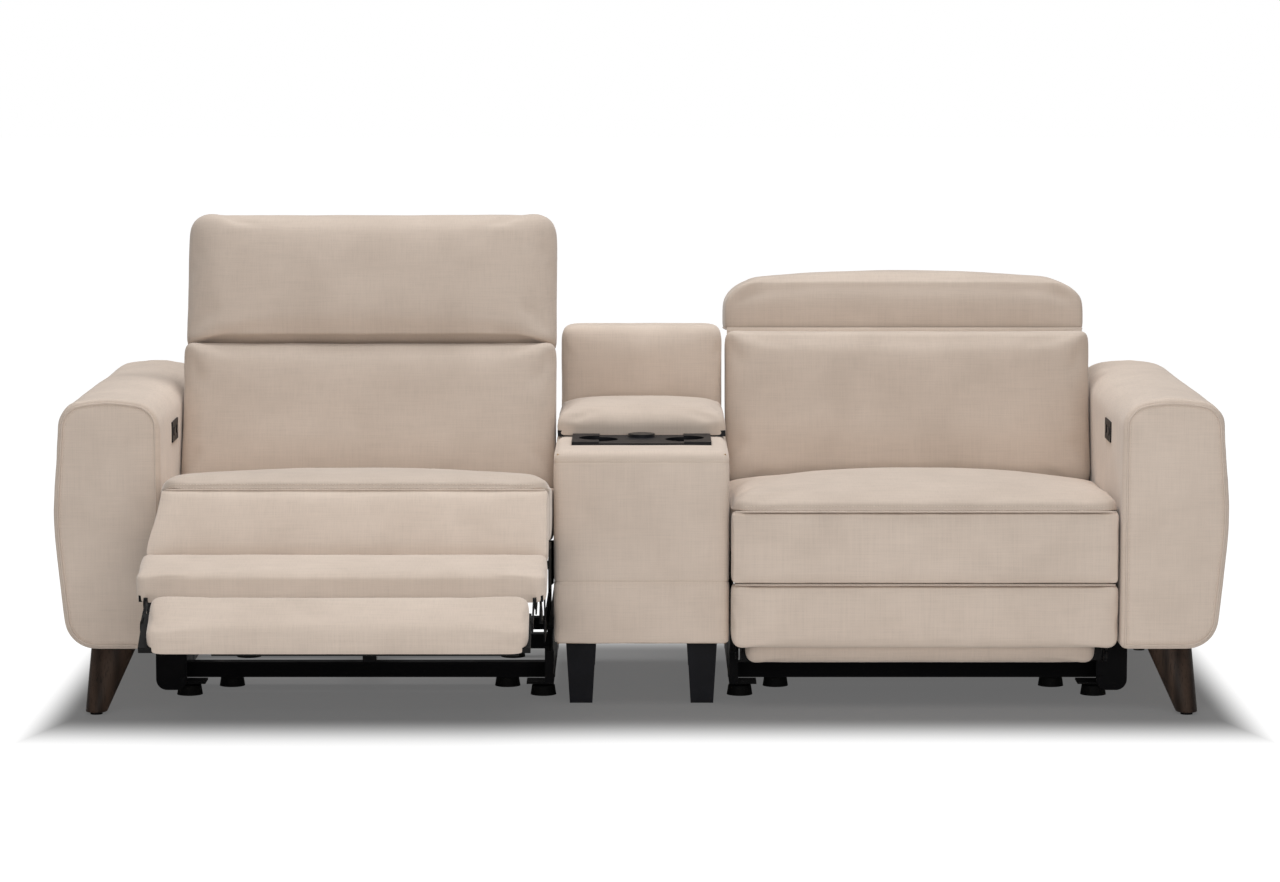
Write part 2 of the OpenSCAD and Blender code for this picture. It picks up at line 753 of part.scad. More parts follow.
module console_back_board() {
  y0 = console_back_rear - console_back_board_t;
  arm = back_bracket_x + bracket_t + bracket_gap;
  color(plywood) placed() {
    block(-console_back_half + cabinet_wall, console_back_half - cabinet_wall, y0,
          console_back_rear, console_back_low + cabinet_wall, console_back_top - cabinet_wall);
    for (s = [0, 1]) mirror([s, 0, 0])
      difference() {
        union() {
          rod_x(back_axis, back_bracket_w / 2, arm, arm + bracket_t);
          block(arm, arm + bracket_t, back_axis[0], y0 + over, back_axis[1] - back_bracket_w / 2,
                back_axis[1] + back_bracket_w / 2);
        }
        bore(back_axis, back_pin_r, arm, bracket_t);
      }
  }
}
module console_back_pad() {
  y0 = console_back_rear - console_back_board_t - soft_gap;
  t = console_back_t - console_back_board_t - console_back_crown;
  color(fabric) placed() difference() {
    standing_pad(console_back_half, console_back_low, console_back_top, y0, t, back_pad_corner,
                 back_pad_edges[0], back_pad_edges[1], console_back_crown, pad_pull);
    for (s = [0, 1]) mirror([s, 0, 0])
      block(back_bracket_x - slot_side, back_bracket_x + bracket_t * 2 + bracket_gap + slot_side,
            back_axis[0], y0 + over, back_axis[1] - back_bracket_w / 2 - slot_side,
            back_axis[1] + back_bracket_w / 2 + slot_side);
  }
}

// Base, fixed under each seat
module base(side) {
  color(black_steel) seat_side(side) {
    both_edges() {
      block(0, channel_wall, base_front, base_back, base_low, channel_high);
      block(0, channel_wall, channel_front, base_front, channel_low, channel_high);
      block(0, channel_in, channel_front, base_back, channel_low, channel_low + channel_wall);
      block(0, channel_in, channel_front, base_back, channel_high - channel_wall, channel_high);
      block(0, channel_in, base_back - channel_wall, base_back, channel_low, channel_high);
      block(0, flange_w, base_front - channel_wall, base_front, base_low, channel_low);
      block(0, foot_lip_w, base_front, base_front + foot_lip_w, base_low,
            base_low + foot_lip_t);
    }
    cross_channel(tube_front_y);
    cross_channel(tube_back_y);
    outrigger();
    for (y = joiner_y)
      block(-seat_half - seat_gap, -seat_half + channel_wall, y, y + block_l,
            channel_high - joiner_h, channel_high - over);
  }
}
flange_w = 18;
module cross_channel(y) {
  difference() {
    block(-seat_half, seat_half, y, y + tube_w, foot_h, foot_h + tube_w);
    block(-seat_half + channel_wall, seat_half - channel_wall, y + channel_wall,
          y + tube_w + over, foot_h + channel_wall, foot_h + tube_w - channel_wall);
  }
}
// The plate with a rounded foot that ties the outer side of the base to the arm
module outrigger() {
  x0 = seat_half - outrigger_in;
  x1 = x0 + outrigger_w;
  y0 = base_front - channel_wall - outrigger_t;
  block(x0, x1, y0, y0 + outrigger_t, outrigger_low + outrigger_round, channel_low - over);
  block(seat_half + over, x1, y0, y0 + outrigger_t, channel_low - over * 2, arm_bottom);
  for (x = [x0 + outrigger_round, x1 - outrigger_round])
    translate([x, y0, outrigger_low + outrigger_round]) rotate([-90, 0, 0])
      cylinder(h = outrigger_t, r = outrigger_round);
  block(x0 + outrigger_round, x1 - outrigger_round, y0, y0 + outrigger_t, outrigger_low,
        outrigger_low + outrigger_round + over);
  block(seat_half + seat_gap + over, x1, y0, y0 + outrigger_shelf, arm_bottom - outrigger_t,
        arm_bottom);
  translate([x0 + bolt_in, y0, bolt_z]) rotate([90, 0, 0])
    cylinder(h = bolt_h, r = bolt_r, $fn = 6);
}
outrigger_shelf = 40;
// Blocks that join the base to the side of the console
joiner_y = [400, 620];
joiner_h = 12;
module base_feet() {
  color(black_plastic)
    for (side = [-1, 1]) seat_side(side) {
      for (s = [-1, 1]) {
        foot(-s * (seat_half - foot_inner_in), foot_front_inner_y, base_low);
        foot(-s * (seat_half - foot_outer_in), tube_front_y + tube_w / 2, foot_h);
        foot(-s * (seat_half - foot_outer_in), tube_back_y + tube_w / 2, foot_h);
      }
    }
}
foot_taper = 3;
module foot(x, y, top) {
  translate([x, y, 0]) cylinder(h = foot_h, r1 = foot_r, r2 = foot_r - foot_taper);
  if (top > foot_h)
    translate([x, y, 0]) cylinder(h = top, r = stem_r);
}

// Drive motor with the track that its block runs along
gearbox_half = 34;
gearbox_y = [700, 790];
gearbox_top = 112;
can_r = 27;
can_end = 112;
track_half = 14;
track_z = [76, 100];
track_front = 318;
drive_half = 26;
drive_fit = 0.4;
drive_low = 78;
washer_share = 1.8;
tab_y = [600, 640];
module motor(side) {
  color(black_plastic) seat_side(side) {
    block(-gearbox_half, gearbox_half, gearbox_y[0], gearbox_y[1], foot_h + tube_w, gearbox_top);
    rod_x([(gearbox_y[0] + gearbox_y[1]) / 2, foot_h + tube_w + can_r + over], can_r,
          gearbox_half, can_end);
    block(-track_half, track_half, track_front, gearbox_y[0], track_z[0], track_z[1]);
    block(-track_half, track_half, tube_front_y, tube_front_y + tube_w, foot_h + tube_w,
          track_z[0] + over);
  }
}

// Carriage, with its glide blocks in the channels and its block round the motor's track
module carriage(side) {
  color(black_steel) on_carriage(side) {
    both_edges() {
      block(layer_1, layer_1 + plate_t, carriage_front, carriage_back, carriage_low, carriage_high);
      for (y = [block_front_y, block_back_y]) {
        block(layer_1, layer_1 + plate_t, y, y + block_l, channel_low + channel_wall,
              carriage_low + over);
        block(channel_wall + block_gap, layer_1, y, y + block_l,
              channel_low + channel_wall + block_gap, channel_high - channel_wall - block_gap);
      }
      block(layer_1, layer_1 + plate_t, tab_y[0], tab_y[1], crossbar_z, carriage_low + over);
      bar([lift_pivot[0], carriage_high - link_w / 2], lift_pivot, link_w, layer_1);
      rod_x(lift_pivot, pin_r, layer_1, layer_2 + plate_t);
      bar([tilt_pivot[0], carriage_high - link_w / 2], tilt_pivot, link_w, layer_1);
      rod_x(tilt_pivot, pin_r, layer_1, layer_3 + plate_t);
      rod_x(tilt_pivot, pin_r * washer_share, layer_1, layer_3 - plate_gap);
    }
    block(-seat_half + layer_1, seat_half - layer_1, crossbar_y, crossbar_y + crossbar_w,
          crossbar_z, crossbar_z + crossbar_w);
    difference() {
      block(-drive_half, drive_half, crossbar_y, crossbar_y + crossbar_w, drive_low,
            crossbar_z + over);
      block(-track_half - drive_fit, track_half + drive_fit, crossbar_y - over,
            crossbar_y + crossbar_w + over, track_z[0] - drive_fit, track_z[1] + drive_fit);
    }
  }
}
module lift_links(side) {
  color(black_steel) on_carriage(side) turn_at(lift_pivot, lift_turn * share_of(side))
    both_edges() difference() {
      bar(lift_pivot, lift_lug, link_w, layer_2);
      bore(lift_pivot, pin_r, layer_2);
      rod_x(lift_lug, pin_r + lift_slack, layer_2 - over, layer_2 + plate_t + over);
    }
}

// Seat frame: steel spines with their pivots, wooden rails and a plywood deck
module seat_frame(side) {
  tab_z = (spine_low + spine_high) / 2;
  in_edge = layer_3 + plate_t;
  color(black_board) on_seat(side) {
    both_edges() {
      difference() {
        union() {
          block(layer_3, in_edge, spine_front, spine_back, spine_low, spine_high);
          bar([arm_pivot[0], tab_z], arm_pivot, link_w, layer_3);
          bar([lift_lug[0], tab_z], lift_lug, small_link_w, layer_3);
          bar(tilt_pivot, back_pivot, link_w, layer_3);
        }
        bore(tilt_pivot, pin_r, layer_3);
      }
      rod_x(arm_pivot, pin_r, layer_2, in_edge);
      rod_x(lift_lug, pin_r, layer_2, in_edge);
      rod_x(back_pivot, pin_r, layer_3, layer_4 + plate_t);
      block(in_edge, in_edge + rail_w, deck_front, deck_back, rail_low, deck_top - deck_t);
    }
    for (y = [deck_front, deck_back - rail_w])
      block(-seat_half + in_edge, seat_half - in_edge, y, y + rail_w, rail_low,
            deck_top - deck_t);
    block(-seat_half + soft_gap, seat_half - soft_gap, deck_front, deck_back, deck_top - deck_t,
          deck_top);
  }
}

// Seat cushion: its nose hangs over the border, with a welt along the seam
panel_corner = 15;
panel_edges = [6, 12];
panel_pull = 1;
border_edge = 8;
nose_rise = 11;
nose_top = 25;
cushion_corner = 34;
cushion_shrink = 12;
welt_r = 2.5;
seat_crown_shares = [0.82, 0.5];
cushion_side_share = 0.2;
module seat_cushion(side) {
  hx = seat_half - soft_gap;
  low = deck_top + soft_gap;
  crown = side < 0 ? cushion_crowns[0] : cushion_crowns[1];
  back = cushion_depth;
  // Height, front, inset of the sides and the back
  rims = [
    [low, cushion_front + cushion_shrink / 2, cushion_shrink / 2],
    [low + cushion_shrink, cushion_front, 0],
    [seam_h - welt_r / 2, cushion_front, 0],
    [seam_h, border_pivot[0], 0],
    [seam_h + nose_rise, nose_front, 0],
    [seam_h + nose_top, nose_front + border_lip * 4, cushion_shrink * cushion_side_share],
    [cushion_h, nose_front + cushion_shrink * 2, cushion_shrink]
  ];
  rings = [
    for (r = rims) ring(-hx + r[2], hx - r[2], r[1], back - r[2], cushion_corner, 0, r[0])
  ];
  last = rings[len(rings) - 1];
  color(fabric) on_seat(side) {
    skin(concat(rings, [for (s = seat_crown_shares) shrunk(last, s, crown * (1 - s * s))]),
         [0, (nose_front + back) / 2, cushion_h + crown]);
    rod_x(border_pivot, welt_r, -hx + cushion_corner, hx - cushion_corner);
  }
}
module front_border(side) {
  color(fabric) on_seat(side) turn_at(border_pivot, border_turn * share_of(side))
    standing_pad(seat_half - soft_gap, border_bottom, seam_h - welt_r - soft_gap,
                 border_front + border_t, border_t - border_lip * 2, panel_corner, panel_edges[0],
                 border_edge, border_lip * 2, panel_pull);
}

// Back
plate_rise = [44, 30];
plate_top = 240;
plate_w = 18;
back_edge = 24;
back_low_edge = 9;
back_corner = 37;
module back_frame(side) {
  board_in = layer_4 + plate_t;
  rear = back_face + soft_gap;
  color(plywood) on_back(side) {
    block(-seat_half + board_in, seat_half - board_in, rear, rear + back_board_t, 0,
          back_board_top);
    both_edges() difference() {
      union() {
        bar([0, 0], plate_rise, link_w, layer_4);
        block(layer_4, board_in, rear, rear + plate_w, plate_rise[1] - plate_w / 2, plate_top);
      }
      bore([0, 0], pin_r, layer_4);
    }
    for (s = [0, 1]) mirror([s, 0, 0]) {
      block(head_lug_x, head_lug_x + plate_t, head_pivot[0] - head_lug_w * neck_share / 2,
            head_pivot[0] + head_lug_w * neck_share / 2, back_board_top - plate_w,
            head_pivot[1]);
      rod_x(head_pivot, head_lug_w / 2, head_lug_x, head_lug_x + plate_t);
      rod_x(head_pivot, head_pin_r, head_lug_x + over, head_lug_x + layer + plate_t);
    }
  }
}
module back_cushion(side) {
  color(fabric) on_back(side)
    standing_pad(seat_half + seat_gap_to_back, back_start, back_top, back_face, back_t,
                 back_corner, back_low_edge, back_edge, back_crown, pad_pull);
}
module headrest_frame(side) {
  rear = back_face + soft_gap;
  lug = head_lug_x + layer;
  color(plywood) on_headrest(side) {
    block(-seat_half + head_board_in, seat_half - head_board_in, rear, rear + head_board_t,
          head_start + back_board_t, head_start + headrest_l - back_edge);
    for (s = [0, 1]) mirror([s, 0, 0])
      difference() {
        bar(head_pivot, [rear + head_lug_w / 2, head_start + link_w * 2], head_lug_w, lug);
        bore(head_pivot, head_pin_r, lug);
      }
  }
}
head_gap = 0.6;
module headrest_cushion(side) {
  color(fabric) on_headrest(side)
    standing_pad(seat_half + seat_gap_to_back, back_top + head_gap, back_top + headrest_l,
                 back_face, head_pad_t, back_corner, back_low_edge, back_edge, head_crown,
                 pad_pull);
}

// Footrest linkage
module swing_arms(side) {
  color(black_steel) on_arm_1(side) both_edges() {
    difference() {
      bar(arm_pivot, elbow_closed, link_w, layer_2);
      bore(arm_pivot, pin_r, layer_2);
    }
    rod_x(elbow_closed, pin_r, layer_1, layer_2 + plate_t);
  }
}
module fold_arms(side) {
  color(black_steel) on_arm_2(side) both_edges() difference() {
    bar(elbow_closed, hook_closed, link_w, layer_1);
    bore(elbow_closed, pin_r, layer_1);
    bore(hook_closed, pin_r, layer_1);
  }
}
module footrest_board(side) {
  y0 = border_front + panel_pad_t + soft_gap;
  color(black_board) on_panel(side) {
    block(-seat_half + board_set, seat_half - board_set, y0, y0 + board_t,
          panel_low + board_set, panel_top - board_set);
    both_edges() {
      difference() {
        union() {
          block(layer_3, layer_3 + plate_t, y0 + board_t - over, hook_closed[0] + link_w / 2,
                panel_low + small_link_w, hook_closed[1] + link_w / 2);
          block(layer_3, layer_3 + plate_t, y0 + over,
                flip_pivot[0] + small_link_w * neck_share / 2, flip_pivot[1],
                panel_low + small_link_w + over);
          rod_x(flip_pivot, small_link_w / 2, layer_3, layer_3 + plate_t);
        }
        bore(flip_pivot, pin_r, layer_3);
      }
      rod_x(hook_closed, pin_r, layer_1, layer_3 + over);
    }
  }
}
module footrest_pad(side) {
  color(fabric) on_panel(side)
    standing_pad(seat_half - soft_gap, panel_low, panel_top, border_front + panel_pad_t,
                 panel_pad_t - border_lip * 2, panel_corner, panel_edges[0], panel_edges[1],
                 border_lip * 2, panel_pull);
}
module flip_links(side) {
  color(black_steel) on_flip_link(side)
    both_edges() {
      difference() {
        bar(flip_lug, flip_pivot, small_link_w, layer_4);
        bore(flip_lug, pin_r, layer_4);
      }
      rod_x(flip_pivot, pin_r, layer_3, layer_4 + plate_t);
    }
}
module flipper_board(side) {
  y0 = flipper_front + flipper_pad_t + soft_gap;
  color(black_board) on_flipper(side) {
    block(-seat_half + layer_5, seat_half - layer_5, y0, y0 + board_t,
          flipper_bottom + board_set, flipper_bottom + flipper_h - board_set);
    both_edges() {
      bar([y0 + board_t / 2, flip_lug[1]], flip_lug, small_link_w, layer_5);
      rod_x(flip_lug, pin_r, layer_4, layer_5 + plate_t);
    }
    rod_x([y0 + board_t + tie_r - tie_sink, flipper_bottom + tie_rise], tie_r,
          -seat_half + tie_ends[0], seat_half - tie_ends[1]);
  }
}
// Stiffening tube behind the second board, with how far each end stops short of the seat's sides
tie_r = 5;
tie_sink = 1.5;
tie_rise = 9;
tie_ends = [45, 156];
module flipper_pad(side) {
  shift = (flipper_inset - flipper_outer_inset) / 2;
  hx = seat_half - (flipper_inset + flipper_outer_inset) / 2;
  color(fabric) on_flipper(side) translate([shift, 0, 0])
    standing_pad(hx, flipper_bottom, flipper_bottom + flipper_h, flipper_front + flipper_pad_t,
                 flipper_pad_t - border_lip * 2, panel_corner, panel_edges[0], panel_edges[1],
                 border_lip * 2, panel_pull);
}

arm_frame(-1);  // left_arm_frame
arm_frame(1);  // right_arm_frame
arm_cover(-1);  // left_arm_cover
arm_cover(1);  // right_arm_cover
arm_legs(-1);  // left_arm_legs
arm_legs(1);  // right_arm_legs
leg_glides();
console_cabinet();
console_cover();
console_tray();
tray_cap();
console_legs();
console_hinges();
console_lid_board();
console_lid_pad();
console_back_board();
console_back_pad();
base(-1);  // left_base
base(1);  // right_base
base_feet();
motor(-1);  // left_motor
motor(1);  // right_motor
switch_plate(-1);  // left_switch_plate
switch_plate(1);  // right_switch_plate
button(-1, 1);  // left_open_button
button(-1, -1);  // left_close_button
button(1, 1);  // right_open_button
button(1, -1);  // right_close_button
carriage(-1);  // left_carriage
carriage(1);  // right_carriage
lift_links(-1);  // left_lift_links
lift_links(1);  // right_lift_links
seat_frame(-1);  // left_seat_frame
seat_frame(1);  // right_seat_frame
seat_cushion(-1);  // left_seat_cushion
seat_cushion(1);  // right_seat_cushion
front_border(-1);  // left_front_border
front_border(1);  // right_front_border
back_frame(-1);  // left_back_frame
back_frame(1);  // right_back_frame
back_cushion(-1);  // left_back_cushion
back_cushion(1);  // right_back_cushion
headrest_frame(-1);  // left_headrest_frame
headrest_frame(1);  // right_headrest_frame
headrest_cushion(-1);  // left_headrest_cushion
headrest_cushion(1);  // right_headrest_cushion
swing_arms(-1);  // left_swing_arms
swing_arms(1);  // right_swing_arms
fold_arms(-1);  // left_fold_arms
fold_arms(1);  // right_fold_arms
footrest_board(-1);  // left_footrest_board
footrest_board(1);  // right_footrest_board
footrest_pad(-1);  // left_footrest_pad
footrest_pad(1);  // right_footrest_pad
flip_links(-1);  // left_flip_links
flip_links(1);  // right_flip_links
flipper_board(-1);  // left_flipper_board
flipper_board(1);  // right_flipper_board
flipper_pad(-1);  // left_flipper_pad
flipper_pad(1);  // right_flipper_pad
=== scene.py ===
"""Looks of a two seat reclining sofa with a console between the seats.

Lengths in the helpers are in millimetres in the frame of one closed seat, with Y counted back from the arm
fronts. Each side's chain of turns then carries them to where the CAD bodies stand at rest.
"""
import bpy
import bmesh
import math
from mathutils import Matrix, Vector, noise
from mathutils.bvhtree import BVHTree


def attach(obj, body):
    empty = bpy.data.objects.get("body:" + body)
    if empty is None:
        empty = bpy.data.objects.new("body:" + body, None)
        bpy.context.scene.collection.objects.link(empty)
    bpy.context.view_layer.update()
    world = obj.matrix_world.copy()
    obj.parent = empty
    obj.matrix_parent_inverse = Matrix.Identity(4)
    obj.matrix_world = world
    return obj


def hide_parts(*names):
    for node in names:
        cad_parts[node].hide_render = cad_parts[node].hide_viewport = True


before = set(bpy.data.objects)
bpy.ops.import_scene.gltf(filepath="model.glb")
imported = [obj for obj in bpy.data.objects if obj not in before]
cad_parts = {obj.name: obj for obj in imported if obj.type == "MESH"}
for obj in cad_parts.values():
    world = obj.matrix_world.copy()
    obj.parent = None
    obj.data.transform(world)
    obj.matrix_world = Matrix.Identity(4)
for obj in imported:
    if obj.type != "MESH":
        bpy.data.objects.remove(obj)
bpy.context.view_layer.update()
scene = bpy.context.scene

MM = 0.001
ORIGIN_BACK = 195.0  # the frame's origin, back from the arm fronts
SEAT_HALF = 378.5
SKIN_HALF = 379.4  # half width of the cloth on the seats and on their wide panels
BACK_HALF = 380.0  # half width of the cloth on the backs and headrests
SEAT_X = 555.0
ARM_INNER = 937.0
GLIDE = 250.0
TILT = 7.0
LEAN = 14.0
TILT_PIVOT = (600.0, 250.0)
BACK_PIVOT = (600.0, 330.0)
BORDER_PIVOT = (20.0, 403.0)
ARM_PIVOT = (120.0, 235.0)
HOOK = (79.4, 202.5)
ELBOW = (160.675, 101.039)
FLIP_PIVOT = (54.6753, 111.186)
FLIP_LUG = (115.7, 175.0)
HEAD_PIVOT = (46.0, 379.0)
TURNS = dict(border=24.0, arm1=75.1864, arm2=-109.167, hook=103.981, flip=129.018, lug=-146.018)
OPEN = {-1: 1.0, 1: 0.0}
FOLD = {-1: 0.0, 1: 80.0}
NAME = {-1: "left", 1: "right"}


# Frames
def turn(c, a):
    """Matrix of an opening turn by a degrees about c = (y, z)."""
    p = Vector((0, c[0], c[1]))
    return Matrix.Translation(p) @ Matrix.Rotation(math.radians(-a), 4, "X") @ Matrix.Translation(-p)


def placed():
    return Matrix.Scale(MM, 4) @ Matrix.Translation((0, -ORIGIN_BACK, 0))


def chain(side, part):
    """Matrix from a closed seat's millimetres to the place of that body at rest."""
    s = OPEN[side]
    m = placed() @ Matrix.Diagonal((side, 1, 1, 1)) @ Matrix.Translation((SEAT_X, 0, 0))
    if part == "base":
        return m
    m = m @ Matrix.Translation((0, -GLIDE * s, 0))
    if part == "carriage":
        return m
    m = m @ turn(TILT_PIVOT, TILT * s)
    if part == "seat":
        return m
    if part == "border":
        return m @ turn(BORDER_PIVOT, TURNS["border"] * s)
    if part in ("back", "headrest"):
        m = m @ Matrix.Translation((0, BACK_PIVOT[0], BACK_PIVOT[1]))
        m = m @ Matrix.Rotation(math.radians(-LEAN), 4, "X")
        return m if part == "back" else m @ turn(HEAD_PIVOT, FOLD[side])
    for name, pivot, key in (("swing", ARM_PIVOT, "arm1"), ("fold", ELBOW, "arm2"),
                             ("footrest", HOOK, "hook"), ("fliplink", FLIP_PIVOT, "flip"),
                             ("flipper", FLIP_LUG, "lug")):
        m = m @ turn(pivot, TURNS[key] * s)
        if part == name:
            return m
    raise ValueError(part)


def arm_frame(side):
    return placed() @ Matrix.Diagonal((side, 1, 1, 1))


STAND = Matrix(((1, 0, 0, 0), (0, 0, -1, 0), (0, 1, 0, 0), (0, 0, 0, 1)))  # pad Z faces forward
OUTWARD = Matrix(((-1, 0, 0, 0), (0, 0, 1, 0), (0, 1, 0, 0), (0, 0, 0, 1)))  # pad Z faces back


# Materials
def put(sock, v):
    """Sets a node's input from a number, a vector, a colour or another node's output."""
    if isinstance(v, bpy.types.NodeSocket):
        sock.id_data.links.new(v, sock)
    elif isinstance(v, tuple) and len(sock.default_value) == 4:
        sock.default_value = (*v, 1)
    else:
        sock.default_value = v


def feed(n, **inputs):
    """Sets a node's named inputs, with an underscore for each space in a name."""
    for name, v in inputs.items():
        put(n.inputs[name.replace("_", " ")], v)
    return n


def node(nt, kind, **inputs):
    return feed(nt.nodes.new("ShaderNode" + kind), **inputs)


def mat_new(name):
    m = bpy.data.materials.new(name)
    m.use_nodes = True
    nt = m.node_tree
    nt.nodes.clear()
    p = node(nt, "BsdfPrincipled")
    node(nt, "OutputMaterial", Surface=p.outputs["BSDF"])
    return m, nt, p


def coords(nt, scale=(1, 1, 1), rotation=(0, 0, 0)):
    place = node(nt, "TexCoord").outputs["Object"]
    return node(nt, "Mapping", Vector=place, Scale=scale, Rotation=rotation).outputs["Vector"]


def tex_noise(nt, vec, scale, detail=2.0, rough=0.5, distort=0.0):
    n = node(nt, "TexNoise", Vector=vec, Scale=scale, Detail=detail, Roughness=rough, Distortion=distort)
    return n.outputs["Fac"]


def tex_wave(nt, vec, scale, axis, distort):
    n = node(nt, "TexWave", Vector=vec, Scale=scale, Distortion=distort, Detail=1.0, Detail_Scale=1.5)
    n.bands_direction = axis
    return n.outputs["Fac"]


def math_node(nt, op, a, b, clamp=False):
    n = node(nt, "Math")
    n.operation = op
    n.use_clamp = clamp
    put(n.inputs[0], a)
    put(n.inputs[1], b)
    return n.outputs[0]


def ramp(nt, fac, *stops):
    """Colour ramp through (position, colour) stops, where one number stands for a grey."""
    n = node(nt, "ValToRGB", Fac=fac)
    e = n.color_ramp.elements
    while len(e) < len(stops):
        e.new(0.5)
    for k, (pos, col) in enumerate(stops):
        e[k].position = pos
        e[k].color = (*col, 1) if isinstance(col, tuple) else (col, col, col, 1)
    return n.outputs["Color"]


def mix_rgb(nt, fac, a, b, mode="MIX"):
    n = node(nt, "Mix")
    n.data_type = "RGBA"
    n.blend_type = mode
    for k, v in ((0, fac), (6, a), (7, b)):
        put(n.inputs[k], v)
    return n.outputs[2]


def bump(nt, p, height, strength, distance, **normal):
    n = node(nt, "Bump", Height=height, Strength=strength, Distance=distance, **normal)
    put(p.inputs["Normal"], n.outputs["Normal"])
    return n.outputs["Normal"]


def srgb(*rgb):
    f = lambda c: c / 12.92 if c <= 0.04045 else ((c + 0.055) / 1.055) ** 2.4
    return tuple(f(v / 255) for v in rgb)


def scaled(col, f):
    return tuple(c * f for c in col)


def make_fabric(name, tone):
    """Beige velvet over a linen weave: soft nap patches, slubs and crossing threads."""
    m, nt, p = mat_new(name)
    vec = coords(nt)
    nap = tex_noise(nt, vec, 7.0, 4.0, 0.55, 0.4)
    brush = tex_noise(nt, coords(nt, (1.0, 1.0, 3.2), (0, 0, 0.5)), 16.0, 3.0, 0.5, 0.2)
    slub_h = tex_noise(nt, coords(nt, (14, 60, 620)), 1.0)
    slub_v = tex_noise(nt, coords(nt, (620, 60, 14)), 1.0)
    dark, base, light = (scaled(srgb(213 + d, 197 + d, 183 + d), tone) for d in (-5, 0, 5))
    col = ramp(nt, nap, (0.30, dark), (0.5, base), (0.72, light))
    fine = math_node(nt, "MULTIPLY", math_node(nt, "ADD", slub_h, slub_v), 0.5)
    threads = ramp(nt, fine, (0.30, 0.925), (0.5, 1), (0.72, 1.045))
    for shade in (threads, ramp(nt, brush, (0.3, 0.985), (0.7, 1.01))):
        col = mix_rgb(nt, 1.0, col, shade, "MULTIPLY")
    feed(p, Base_Color=col, Roughness=ramp(nt, nap, (0.2, 0.80), (0.8, 0.93)), Specular_IOR_Level=0.18,
         Sheen_Weight=0.28, Sheen_Roughness=0.45, Sheen_Tint=(1.0, 0.98, 0.96))
    wx, wy, wz = (tex_wave(nt, vec, 170.0, axis, 1.2) for axis in "XYZ")
    weave = math_node(nt, "MULTIPLY", math_node(nt, "ADD", math_node(nt, "ADD", wx, wy), wz), 0.33)
    h = math_node(nt, "ADD", math_node(nt, "MULTIPLY", weave, 0.5), math_node(nt, "MULTIPLY", fine, 0.9))
    soft = bump(nt, p, tex_noise(nt, vec, 38.0, 3.0, 0.6), 0.14, 0.0012)
    bump(nt, p, h, 0.30, 0.0004, Normal=soft)
    return m


def make_thread(name):
    m, nt, p = mat_new(name)
    twist = tex_wave(nt, coords(nt, (1, 1, 1), (0.5, 0.6, 0.7)), 500.0, "X", 2.0)
    col = ramp(nt, twist, (0.2, srgb(204, 187, 172)), (0.8, srgb(232, 218, 205)))
    feed(p, Base_Color=col, Roughness=0.6)
    bump(nt, p, twist, 0.4, 0.0003)
    return m


def make_steel(name, color, rough):
    """Black powder coat with a fine texture, lighter in patches along its sharp edges."""
    m, nt, p = mat_new(name)
    vec = coords(nt)
    pits = tex_noise(nt, vec, 900.0, 2.0, 0.6)
    cloud = tex_noise(nt, vec, 24.0, 4.0, 0.6)
    edge = ramp(nt, node(nt, "NewGeometry").outputs["Pointiness"], (0.52, 0), (0.60, 1))
    # lighter colour in patches along the sharpest edges
    edge_lighter = math_node(nt, "MULTIPLY", edge, math_node(nt, "MULTIPLY", cloud, 0.5), True)
    col = ramp(nt, cloud, (0.3, scaled(color, 0.8)), (0.7, scaled(color, 1.35)))
    feed(p, Base_Color=mix_rgb(nt, edge_lighter, col, (0.016, 0.016, 0.017)), Specular_IOR_Level=0.05,
         Roughness=ramp(nt, cloud, (0.3, rough * 0.85), (0.7, rough * 1.25)))
    bump(nt, p, pits, 0.18, 0.0003)
    return m


def make_plastic(name, color, rough, grain, coat=0.0):
    m, nt, p = mat_new(name)
    vec = coords(nt)
    pits = tex_noise(nt, vec, grain)
    cloud = tex_noise(nt, vec, 18.0, 3.0, 0.6)
    feed(p, Base_Color=ramp(nt, cloud, (0.3, scaled(color, 0.85)), (0.7, scaled(color, 1.25))),
         Roughness=ramp(nt, cloud, (0.25, rough * 0.85), (0.75, rough * 1.15)),
         Specular_IOR_Level=0.10, Coat_Weight=coat, Coat_Roughness=0.12)
    bump(nt, p, pits, 0.15, 0.0002)
    return m


def make_wood(name, dark, light, ring, rough, stretch, across):
    """Timber with its grain along the axis that stretch draws out, and with pores."""
    m, nt, p = mat_new(name)
    vec = coords(nt, stretch)
    warp = tex_noise(nt, vec, 14.0, 3.0, 0.55, 0.8)
    bands = tex_wave(nt, vec, ring, across, 5.0)
    grain = math_node(nt, "ADD", math_node(nt, "MULTIPLY", bands, 0.45),
                      math_node(nt, "MULTIPLY", warp, 0.65))
    mid = tuple((a + b) / 2 for a, b in zip(dark, light))
    col = ramp(nt, grain, (0.28, dark), (0.52, mid), (0.80, light))
    pores = tex_noise(nt, coords(nt, tuple(v * 420 if v == 1 else 18 for v in stretch)), 1.0, 2.0, 0.6)
    col = mix_rgb(nt, 1.0, col, ramp(nt, pores, (0.34, 0.55), (0.45, 1)), "MULTIPLY")
    feed(p, Base_Color=col, Roughness=ramp(nt, grain, (0.2, rough * 0.9), (0.8, rough * 1.2)),
         Specular_IOR_Level=0.16)
    bump(nt, p, pores, 0.25, 0.0003)
    return m
